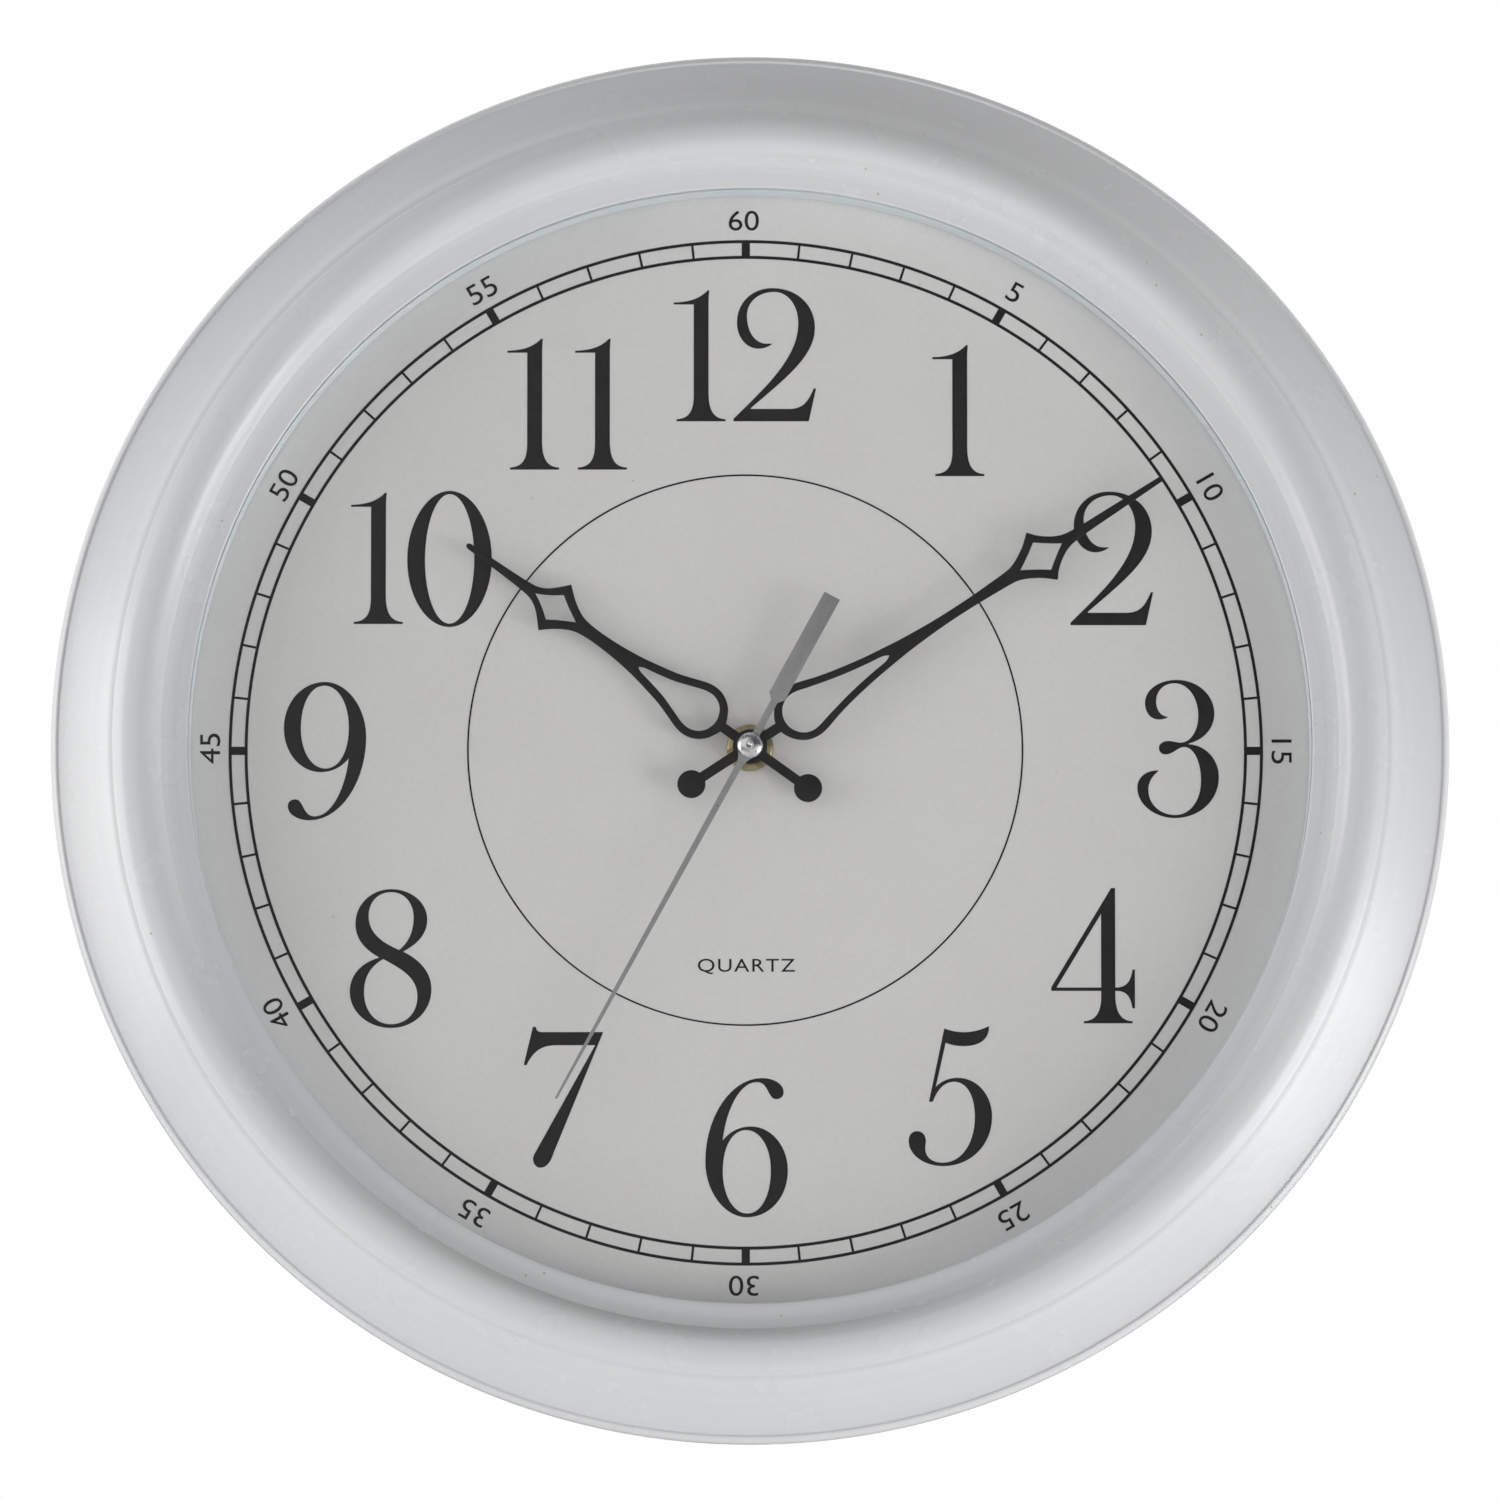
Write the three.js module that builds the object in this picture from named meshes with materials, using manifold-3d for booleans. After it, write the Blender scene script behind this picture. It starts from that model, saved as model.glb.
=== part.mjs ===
// Sixteen-inch round wall clock: moulded case ring, flat lens, printed dial board,
// back cover with keyhole hanger, and a quartz movement with its full gear train.
// Millimetres. The front of the clock faces -Y, +Z is up, the wall is the plane Y = 0.
// The origin is the nail that the keyhole hangs on.
import * as THREE from 'three';
import { mergeVertices } from 'three/addons/utils/BufferGeometryUtils.js';
import Module from 'manifold-3d';

const wasm = await Module();
wasm.setup();

// ---------------------------------------------------------------- driving dimensions
const HANG_DROP = 150;          // nail to clock axis
const RING_SEG = 64;            // facets round the large rings
const R_SILHOUETTE = 203;       // 406 mm overall diameter
const R_RIM_REAR = 199.2;       // outside of the rear rim
const CASE_DEPTH = 42.5;          // rear rim to the crest of the ring moulding
const R_LIP = 163;              // sight opening
const R_SEAT = 167.7;           // bore that holds lens, spacer and dial
const R_LOOSE = 167.2;          // lens, spacer and dial outside radius
const LENS_FRONT = -33.5, LENS_T = 2.0;
const DIAL_FRONT = -21.2, DIAL_T = 1.5;
const SPACER_T = 4.7;
const BACK_Y0 = -5.0, BACK_Y1 = -3.0;   // back cover plate, front and rear faces
const R_BACK = 196.6;
const RIB_R0 = 161.5, RIB_R1 = 164.5;   // rib on the back cover that presses the dial
const BOSS_R = 183.5, BOSS_RAD = 4.6, BOSS_HOLE = 1.85, SCREW_COUNT = 6;
const GAP = 0.3;

const MV_HALF_W = 28.5, MV_TOP = 20, MV_BOTTOM = -36;  // movement case about the hand axis
const MV_FRONT = -18.5, MV_WALL = 1.0, MV_FRONT_T = 0.9;
const MV_REAR_GEAR = -4.3, MV_REAR_BAY = -2.9;
const BAY_TOP = -18.4;          // top of the wall between gears and battery

const CELL_R = 7.15, CELL_Z = -27.0, CELL_Y = -10.1;

// gear train: teeth, module, centre distances
const A_MOTION = 8.0;           // minute arbor - minute wheel - setting arbor
const A_CENTRE = 10.2;          // hand axis - third wheel
const A_SECOND = 7.2;           // hand axis - intermediate wheel
const A_ROTOR = 7.56;           // intermediate wheel - rotor
const deg = (d) => (d * Math.PI) / 180;
const polar = (a, d, o = [0, 0]) => [o[0] + d * Math.cos(deg(a)), o[1] + d * Math.sin(deg(a))];
const ANG_MINUTE_WHEEL = 120, ANG_THIRD = 40, ANG_INTER = 200, ANG_ROTOR = 205;
const P_MINUTE_WHEEL = polar(ANG_MINUTE_WHEEL, A_MOTION);
const P_KNOB = polar(ANG_MINUTE_WHEEL, 2 * A_MOTION);
const P_THIRD = polar(ANG_THIRD, A_CENTRE);
const P_INTER = polar(ANG_INTER, A_SECOND);
const P_ROTOR = polar(ANG_ROTOR, A_ROTOR, P_INTER);

// hands: clock angles, clockwise from twelve, at rest
const HOUR_ANGLE = 305.75, MINUTE_ANGLE = 56.75, SECOND_ANGLE = 208.6;
const HOUR_Y = [-26.0, -25.6], MINUTE_Y = [-27.4, -27.0], SECOND_Y = [-28.7, -28.4];

// ---------------------------------------------------------------- solid helpers
function toSolid(geometry) {
  let g = geometry.clone();
  g.deleteAttribute('normal');
  g.deleteAttribute('uv');
  g = mergeVertices(g, 1e-4);
  const vertProperties = new Float32Array(g.attributes.position.array);
  let idx = Array.from(g.index.array);
  const tri = [];
  for (let i = 0; i < idx.length; i += 3) {
    const [a, b, c] = [idx[i], idx[i + 1], idx[i + 2]];
    if (a !== b && b !== c && a !== c) tri.push(a, b, c);
  }
  let vol = 0;
  const P = (i) => new THREE.Vector3(vertProperties[3 * i], vertProperties[3 * i + 1], vertProperties[3 * i + 2]);
  for (let i = 0; i < tri.length; i += 3) {
    vol += P(tri[i]).dot(P(tri[i + 1]).cross(P(tri[i + 2])));
  }
  if (vol < 0) for (let i = 0; i < tri.length; i += 3) [tri[i + 1], tri[i + 2]] = [tri[i + 2], tri[i + 1]];
  return new wasm.Manifold(new wasm.Mesh({ numProp: 3, vertProperties, triVerts: new Uint32Array(tri) }));
}
function toGeometry(solid) {
  const m = solid.getMesh();
  const g = new THREE.BufferGeometry();
  const n = m.numProp;
  const pos = new Float32Array((m.vertProperties.length / n) * 3);
  for (let i = 0; i < pos.length / 3; i++) for (let k = 0; k < 3; k++) pos[3 * i + k] = m.vertProperties[n * i + k];
  g.setAttribute('position', new THREE.BufferAttribute(pos, 3));
  g.setIndex(Array.from(m.triVerts));
  g.computeVertexNormals();
  return g;
}
const join = (...s) => s.reduce((a, b) => a.add(b));
const cut = (a, ...s) => s.reduce((x, y) => x.subtract(y), a);

// ring or disc turned about the Y axis through (x, z); pts are [radius, y]
function turned(pts, seg, at = [0, 0], closed = false) {
  const list = pts.map((p) => new THREE.Vector2(p[0], p[1]));
  if (closed) list.push(list[0].clone());
  const g = new THREE.LatheGeometry(list, seg);
  g.translate(at[0], 0, at[1]);
  return toSolid(g);
}
const disc = (r, y0, y1, seg, at) => turned([[0, y0], [r, y0], [r, y1], [0, y1]], seg, at);
const ring = (r0, r1, y0, y1, seg, at) => turned([[r0, y0], [r1, y0], [r1, y1], [r0, y1]], seg, at, true);
// flat outline in the X-Z plane, thickness from y0 (front) to y1 (rear)
function plate(outline, holes, y0, y1) {
  const s = new THREE.Shape(outline.map((p) => new THREE.Vector2(p[0], p[1])));
  for (const h of holes) s.holes.push(new THREE.Path(h.map((p) => new THREE.Vector2(p[0], p[1]))));
  const g = new THREE.ExtrudeGeometry(s, { depth: y1 - y0, bevelEnabled: false, curveSegments: 4 });
  g.rotateX(Math.PI / 2);
  g.translate(0, y1, 0);
  return toSolid(g);
}
function box(x0, x1, y0, y1, z0, z1) {
  const g = new THREE.BoxGeometry(x1 - x0, y1 - y0, z1 - z0);
  g.translate((x0 + x1) / 2, (y0 + y1) / 2, (z0 + z1) / 2);
  return toSolid(g);
}
function circle(r, n, at = [0, 0], start = 0) {
  const out = [];
  for (let i = 0; i < n; i++) out.push([at[0] + r * Math.cos(start + (2 * Math.PI * i) / n), at[1] + r * Math.sin(start + (2 * Math.PI * i) / n)]);
  return out;
}
function roundRect(x0, x1, z0, z1, r, n = 4) {
  const out = [];
  const corner = (cx, cz, a0) => { for (let i = 0; i <= n; i++) { const a = deg(a0 + (90 * i) / n); out.push([cx + r * Math.cos(a), cz + r * Math.sin(a)]); } };
  corner(x1 - r, z1 - r, 0); corner(x0 + r, z1 - r, 90); corner(x0 + r, z0 + r, 180); corner(x1 - r, z0 + r, 270);
  return out;
}
// clock teeth: pointed on the wheels, straight-flanked on the pinions; phase is the angle of the first tooth
function gearOutline(n, m, phase, at = [0, 0]) {
  const rp = (m * n) / 2, rt = rp + 0.7 * m, rr = rp - 1.05 * m, p = (2 * Math.PI) / n, out = [];
  const tooth = n > 12 ? [[rr, -0.27 * p], [rt, 0], [rr, 0.27 * p]] : [[rr, -0.2 * p], [rt, -0.07 * p], [rt, 0.07 * p], [rr, 0.2 * p]];
  for (let k = 0; k < n; k++) {
    const a = phase + k * p;
    for (const [r, h] of tooth) {
      out.push([at[0] + r * Math.cos(a + h), at[1] + r * Math.sin(a + h)]);
    }
  }
  return out;
}
// phase of gear 2 so that its gap meets a tooth of gear 1 on the line of centres
function meshPhase(phase1, n1, n2, angle) {
  const th = deg(angle), s = ((th - phase1) * n1) / (2 * Math.PI);
  return th + Math.PI - ((0.5 - s) * 2 * Math.PI) / n2;
}

// ---------------------------------------------------------------- case ring
const FRAME_OUTER = [
  [R_RIM_REAR, 0], [201.5, -12], [R_SILHOUETTE, -23.5], [R_SILHOUETTE, -26.4], [201.8, -28.5],
  [200.7, -28.3], [194.7, -31.7], [188.5, -36.4],
  [186.1, -38.7], [184.5, -39.0], [183.2, -40.6], [180.4, -42.0], [177.2, -CASE_DEPTH],
  [174.2, -41.7], [171.8, -39.2], [170.6, -36.9], [167.4, -35.4], [R_LIP, -34.5],
];
const FRAME_INNER = [
  [R_LIP, -33.8], [R_SEAT, -33.8], [R_SEAT, -9.0], [170.4, -9.0], [170.4, -34.2],
  [174.0, -39.4], [180.4, -39.4], [186.2, -34.0], [198.6, -26.0], [197.6, 0],
];
const axisAt = (k, r, a0 = 30) => [r * Math.sin(deg(a0 + (360 * k) / SCREW_COUNT)), r * Math.cos(deg(a0 + (360 * k) / SCREW_COUNT))];
let frameSolid = turned([...FRAME_OUTER, ...FRAME_INNER], RING_SEG, [0, 0], true);
for (let k = 0; k < SCREW_COUNT; k++) frameSolid = frameSolid.add(disc(BOSS_RAD, -35.0, BACK_Y0 - GAP, 10, axisAt(k, BOSS_R)));
for (let k = 0; k < SCREW_COUNT; k++) frameSolid = frameSolid.subtract(disc(BOSS_HOLE, -20, 1, 8, axisAt(k, BOSS_R)));

const lensSolid = disc(R_LOOSE, LENS_FRONT, LENS_FRONT + LENS_T, RING_SEG);
const spacerSolid = ring(R_LOOSE - SPACER_T, R_LOOSE, LENS_FRONT + LENS_T + GAP, DIAL_FRONT - GAP, RING_SEG);
const dialSolid = ring(4.2, R_LOOSE, DIAL_FRONT, DIAL_FRONT + DIAL_T, RING_SEG);

// ---------------------------------------------------------------- back cover and hanger
let backSolid = turned([
  [0, BACK_Y0], [RIB_R0, BACK_Y0], [RIB_R0, DIAL_FRONT + DIAL_T + GAP], [RIB_R1, DIAL_FRONT + DIAL_T + GAP],
  [RIB_R1, BACK_Y0], [R_BACK, BACK_Y0], [R_BACK, BACK_Y1], [0, BACK_Y1]], RING_SEG);
backSolid = backSolid.subtract(plate(roundRect(-MV_HALF_W - 0.8, MV_HALF_W + 0.8, MV_BOTTOM - 0.8, MV_TOP + 0.8, 3.6, 3), [], -6, -2));
for (let k = 0; k < SCREW_COUNT; k++) backSolid = backSolid.subtract(disc(BOSS_HOLE, -6, -2, 8, axisAt(k, BOSS_R)));
const HANG = [0, HANG_DROP];
backSolid = backSolid.subtract(plate(roundRect(-9, 9, HANG_DROP - 15, HANG_DROP + 7, 3, 3), [], -6, -2));
const HS = [[-14, HANG_DROP - 3], [14, HANG_DROP - 3]];
for (const p of HS) backSolid = backSolid.subtract(disc(1.45, -6, -2, 8, p));
// steel keyhole plate: 8.4 mm entry below, 4.4 mm slot above
const keyhole = (() => {
  const out = [], rs = 2.2, re = 4.2, z1 = HANG_DROP, z0 = HANG_DROP - 8.5;
  for (let i = 0; i <= 6; i++) { const a = deg(180 * (i / 6)); out.push([rs * Math.cos(a), z1 + rs * Math.sin(a)]); }
  const a0 = Math.PI / 2 + Math.asin(rs / re), a1 = a0 + 2 * Math.PI - 2 * Math.asin(rs / re);
  for (let i = 0; i <= 12; i++) { const a = a0 + ((a1 - a0) * i) / 12; out.push([re * Math.cos(a), z0 + re * Math.sin(a)]); }
  return out;
})();
const hangerSolid = plate(roundRect(-18, 18, HANG_DROP - 16, HANG_DROP + 9, 3, 3),
  [keyhole, circle(1.35, 10, HS[0]), circle(1.35, 10, HS[1])], BACK_Y1 + GAP, BACK_Y1 + GAP + 1.2);

function screwSolid(at, rShank, rHead, headFront, headT, length, seg = 10) {
  // pan head with a cross recess, shank toward -Y
  let s = turned([[0, headFront - length], [rShank * 0.55, headFront - length], [rShank, headFront - length + rShank * 1.2], [rShank, headFront],
    [rHead, headFront], [rHead, headFront + headT * 0.45], [rHead * 0.7, headFront + headT], [0, headFront + headT]], seg, at);
  const w = rHead * 0.16, l = rHead * 0.55, y = headFront + headT;
  s = s.subtract(box(at[0] - l, at[0] + l, y - headT * 0.6, y + 1, at[1] - w, at[1] + w));
  return s.subtract(box(at[0] - w, at[0] + w, y - headT * 0.6, y + 1, at[1] - l, at[1] + l));
}

// ---------------------------------------------------------------- movement case
const IN_X = MV_HALF_W - MV_WALL, IN_TOP = MV_TOP - MV_WALL, IN_BOT = MV_BOTTOM + MV_WALL;
let caseSolid = plate(roundRect(-MV_HALF_W, MV_HALF_W, MV_BOTTOM, MV_TOP, 3, 3), [], MV_FRONT, MV_REAR_BAY);
const inFront = MV_FRONT + MV_FRONT_T;
caseSolid = cut(caseSolid,
  box(-MV_HALF_W - 1, MV_HALF_W + 1, MV_REAR_GEAR, 0, BAY_TOP, MV_TOP + 1),
  plate(roundRect(-IN_X, IN_X, BAY_TOP, IN_TOP, 1.2, 2), [], inFront, 0),
  plate(roundRect(-IN_X, IN_X, IN_BOT, BAY_TOP - MV_WALL, 1.2, 2), [], inFront, 0),
  disc(2.75, MV_FRONT - 1, 0, 14),
  box(-9, 9, -9.5, 0, MV_BOTTOM - 1, IN_BOT + 0.5));
const rearCoverSolid = plate(roundRect(-MV_HALF_W, MV_HALF_W, BAY_TOP + GAP, MV_TOP, 2.2, 3), [circle(2.2, 14, P_KNOB)], MV_REAR_GEAR + GAP, MV_REAR_BAY);
let middleSolid = plate(roundRect(-20.5, 20.5, -10.4, 18.2, 1.5, 2),
  [circle(1.9, 12), circle(1.0, 8, P_THIRD), circle(0.9, 8, P_INTER), circle(1.8, 12, P_KNOB)], -12.9, -12.1);
for (const p of [[-18.8, -8.7], [18.8, -8.7], [18.8, 16.5], [-18.8, 16.5]]) middleSolid = middleSolid.add(disc(1.4, inFront + GAP, -12.5, 8, p));

const bushingSolid = ring(2.7, 3.7, -24.6, -18.8, 16);
const rubberSolid = ring(4.1, 8.8, -19.4, -18.8, 18);
const washerSolid = ring(4.1, 6.2, -21.9, -21.5, 16);
let nutSolid = turned([[4.1, -22.2], [6.9, -22.2], [6.9, -23.5], [6.3, -24.1], [4.1, -24.1]], 24, [0, 0], true);
for (const a of [14, 119, 194, 299]) {
  const g = new THREE.BoxGeometry(3.2, 1.4, 2.0);
  g.translate(6.3, -24.1, 0);
  g.rotateY(-deg(a));
  nutSolid = nutSolid.subtract(toSolid(g));
}

// ---------------------------------------------------------------- cell, contacts, electronics
function alongX(pts, seg, y, z, closed = false) {
  const list = pts.map((p) => new THREE.Vector2(p[0], p[1]));
  if (closed) list.push(list[0].clone());
  const g = new THREE.LatheGeometry(list, seg);
  g.rotateZ(-Math.PI / 2);
  g.translate(0, y, z);
  return toSolid(g);
}
const cellSolid = alongX([[0, -24.6], [6.4, -24.6], [CELL_R, -24.0], [CELL_R, 23.4], [6.2, 24.0], [2.8, 24.0], [2.6, 25.6], [0, 25.6]], 20, CELL_Y, CELL_Z);
const posSolid = box(26.0, 26.4, -14.6, -5.0, -31.5, -22.5);
class Helix extends THREE.Curve {
  getPoint(t) {
    const a = 2 * Math.PI * 2.25 * t, r = 3.4 - 1.2 * t;
    return new THREE.Vector3(-26.6 + 1.3 * t, CELL_Y + r * Math.cos(a), CELL_Z + r * Math.sin(a));
  }
}
const springSolid = (() => {
  const s = new THREE.Shape(circle(0.28, 5).map((p) => new THREE.Vector2(p[0], p[1])));
  const g = new THREE.ExtrudeGeometry(s, { steps: 22, bevelEnabled: false, extrudePath: new Helix() });
  return toSolid(g);
})();
const boardSolid = plate([[3.2, -7.6], [25, -7.6], [25, 1.2], [3.2, 1.2]], [circle(0.8, 8, [22.5, -1.5])], -6.0, -5.2);
const chipSolid = turned([[0, -7.3], [1.4, -7.15], [2.3, -6.7], [2.5, -6.3], [0, -6.3]], 12, [7.4, -4]);
const crystalSolid = alongX([[0, 12], [0.8, 12], [1.0, 12.3], [1.0, 18.2], [0, 18.2]], 10, -7.4, -2.4);
const coreSolid = join(box(-21, 14, -10.2, -8.6, -15.8, -13.8), box(-21, -16, -9.0, -7.2, -16.6, -13.0), box(9, 14, -9.0, -7.2, -16.6, -13.0));
const bobbinSolid = alongX([[1.65, -14.5], [3.3, -14.5], [3.3, -13.7], [2.0, -13.7], [2.0, 6.7], [3.3, 6.7], [3.3, 7.5], [1.65, 7.5]], 14, -9.4, -14.8, true);
const windingSolid = alongX([[2.3, -13.4], [3.1, -13.4], [3.1, 6.4], [2.3, 6.4]], 14, -9.4, -14.8, true);
const statorSolid = plate([[-21, 0.8], [-21, -17], [-16, -17], [-16, -11.2], [9, -11.2], [9, -17], [14, -17], [14, -8.2], [-7.5, -8.2], [-7.5, 0.8]].reverse(),
  [circle(2.9, 14, P_ROTOR)], -6.9, -6.1);

// ---------------------------------------------------------------- wheels
const PH = 0;
const interPinionPhase = meshPhase(PH, 30, 6, ANG_INTER);
const rotorPhase = meshPhase(PH, 36, 6, ANG_ROTOR);
const secondPinionPhase = meshPhase(PH, 45, 6, ANG_THIRD + 180);
const thirdPinionPhase = meshPhase(PH, 48, 6, ANG_THIRD);
const cannonPhase = meshPhase(PH, 24, 8, ANG_MINUTE_WHEEL + 180);
const minutePinionPhase = meshPhase(PH, 24, 6, ANG_MINUTE_WHEEL);
const knobPinionPhase = meshPhase(PH, 24, 8, ANG_MINUTE_WHEEL);
const arbor = (r, y0, y1, at, seg = 8) => disc(r, y0, y1, seg, at);

const rotorSolid = join(plate(gearOutline(6, 0.36, rotorPhase, P_ROTOR), [], -9.0, -7.7), disc(2.2, -7.8, -5.6, 12, P_ROTOR), arbor(0.4, -9.4, -4.7, P_ROTOR));
const interSolid = join(plate(gearOutline(6, 0.4, interPinionPhase, P_INTER), [], -10.4, -8.8), plate(gearOutline(36, 0.36, PH, P_INTER), [], -8.9, -8.1), arbor(0.45, -12.7, -4.7, P_INTER));
const secondSolid = join(plate(gearOutline(6, 0.4, secondPinionPhase), [], -11.9, -10.2), plate(gearOutline(30, 0.4, PH), [], -10.3, -9.5), arbor(0.45, -28.6, -4.7, [0, 0]));
const thirdSolid = join(plate(gearOutline(6, 0.3778, thirdPinionPhase, P_THIRD), [], -14.4, -13.2), plate(gearOutline(45, 0.4, PH, P_THIRD), [], -11.8, -11.0), arbor(0.45, -17.2, -4.7, P_THIRD));
const centreSolid = plate(gearOutline(48, 0.3778, PH), [circle(1.5, 12)], -14.2, -13.4);
let arborSolid = join(plate(gearOutline(8, 0.5, cannonPhase), [], -15.9, -14.7), disc(1.4, -27.6, -15.8, 14), disc(1.15, -14.8, -13.1, 14));
arborSolid = arborSolid.subtract(disc(0.85, -28, -12, 10));
const minuteWheelSolid = cut(join(plate(gearOutline(24, 0.5, PH, P_MINUTE_WHEEL), [], -15.7, -14.9), plate(gearOutline(6, A_MOTION / 15, minutePinionPhase, P_MINUTE_WHEEL), [], -17.2, -15.6)), disc(0.5, -18, -14, 8, P_MINUTE_WHEEL));
const hourWheelSolid = cut(join(plate(gearOutline(24, A_MOTION / 15, PH), [], -17.2, -16.3), disc(2.3, -26.2, -17.1, 14)), disc(1.7, -27, -16, 12));
const knobSolid = (() => {
  const grip = [];
  for (let k = 0; k < 18; k++) {
    const a = (2 * Math.PI * k) / 18;
    grip.push([P_KNOB[0] + 4.3 * Math.cos(a), P_KNOB[1] + 4.3 * Math.sin(a)], [P_KNOB[0] + 4.0 * Math.cos(a + Math.PI / 18), P_KNOB[1] + 4.0 * Math.sin(a + Math.PI / 18)]);
  }
  return join(plate(gearOutline(8, 0.5, knobPinionPhase, P_KNOB), [], -15.9, -14.7), disc(1.3, -16.2, -2.5, 10, P_KNOB), plate(grip, [], -2.6, -0.8));
})();

// ---------------------------------------------------------------- hands
const MM = 0.291;
const mirror = (half) => [...half.map(([u, w]) => [w * MM, u * MM]), ...half.slice().reverse().filter(([, w]) => w > 0).map(([u, w]) => [-w * MM, u * MM])];
function tailDisc(uc, r, neck) {   // round counterweight behind the hub
  const a0 = Math.asin(neck / r), out = [];
  for (let i = 0; i <= 8; i++) { const a = a0 + ((Math.PI - a0) * i) / 8; out.push([uc + r * Math.cos(a), r * Math.sin(a)]); }
  return out.reverse();
}
const hubArc = (r, neck, n) => { const a0 = Math.asin(neck / r), out = []; for (let i = 0; i <= n; i++) { const a = Math.PI - a0 - ((Math.PI - 2 * a0) * i) / n; out.push([r * Math.cos(a), r * Math.sin(a)]); } return out; };
const HOUR_OUTLINE = [
  ...tailDisc(-71.5, 14.1, 4.9), ...hubArc(17.3, 4.9, 6),
  [33, 4.9], [35.2, 10], [39.5, 17.5], [46, 23.6], [54, 27.6], [63, 28.9], [72, 27.6], [84, 23.5], [100, 18.2], [120, 13.7], [140, 10], [160, 7.6], [180, 6.4], [200, 6.7],
  [211, 8.6], [220, 12.6], [230, 19.2], [240.7, 28.3], [250, 18.2], [258, 11.2], [266, 7.2], [276, 5.6], [310, 4.0], [345.5, 3.0], [349.6, 1.2],
];
const HOUR_LOOP = [[42.4, 0], [43.7, 7], [47, 13.4], [53, 18.4], [61, 20.8], [69, 20.1], [82, 15.8], [100, 9.6], [120, 5.1], [134, 2.2], [137.4, 0.8]];
const HOUR_DIAMOND = [[214.8, 0], [222, 3.9], [231, 8.9], [240.8, 15.2], [248, 9.6], [257, 3.9], [264.8, 0]];
const MINUTE_OUTLINE = [
  ...tailDisc(-70, 14.1, 5.1), ...hubArc(17, 5.1, 6),
  [33.8, 5.1], [35.6, 10], [39.5, 16.4], [46, 22.8], [54, 27.2], [64, 29.0], [73, 28.0], [92.4, 22.4], [109.7, 18.3], [126.9, 15.1], [144, 12.3], [161.4, 10.1], [180, 8.0], [200, 6.4], [225, 5.1],
  [260, 4.8], [290, 5.8], [314, 7.3], [322, 9.7], [330, 13.8], [338, 18.8], [349.6, 28.6], [356, 21.0], [364, 14.4], [372, 9.6], [380, 6.7], [392, 5.3], [440, 3.95], [470, 3.2], [492.4, 2.7], [494, 1.6],
];
const MINUTE_LOOP = [[42.8, 0], [44, 7], [48, 14], [54.5, 19.2], [62, 21.3], [70, 20.6], [79, 18.2], [92.4, 14.9], [109.7, 10.9], [126.9, 7.7], [144, 5.1], [161.4, 2.7], [166.6, 0.8]];
const MINUTE_DIAMOND = [[323.6, 0], [331.5, 4.6], [340, 9.8], [349.6, 16.4], [357, 10.9], [365, 5.2], [373.2, 0]];
const SECOND_OUTLINE = [[-403.7, 1.2], [-300, 2.0], [-150, 2.8], [-20, 3.4], [-9, 8], [0, 10], [9, 8], [13, 3.6], [50.7, 3.6], [56.7, 8.8], [172, 8.8]];
function handSolid(outline, holes, y, angle, bore) {
  const s = plate(mirror(outline), [...holes.map(mirror), circle(bore, 16)], y[0], y[1]);
  return turnY(s, angle);
}
function turnY(solid, clockAngle) {
  const g = toGeometry(solid);
  g.rotateY(deg(clockAngle));
  return toSolid(g);
}
const hourHandSolid = handSolid(HOUR_OUTLINE, [HOUR_LOOP, HOUR_DIAMOND], HOUR_Y, HOUR_ANGLE, 3.75);
const minuteHandSolid = handSolid(MINUTE_OUTLINE, [MINUTE_LOOP, MINUTE_DIAMOND], MINUTE_Y, MINUTE_ANGLE, 2.8);
const secondHandSolid = handSolid(SECOND_OUTLINE, [], SECOND_Y, SECOND_ANGLE + 180, 0.85);
const hourColletSolid = ring(2.62, 3.35, -26.2, -24.9, 16);
const minuteColletSolid = ring(1.72, 2.4, -27.6, -26.6, 14);
const capSolid = turned([[0, -30.4], [1.6, -30.5], [2.7, -30.2], [3.5, -29.6], [3.75, -29.1], [3.6, -29.0], [0, -29.0]], 20);

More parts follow.
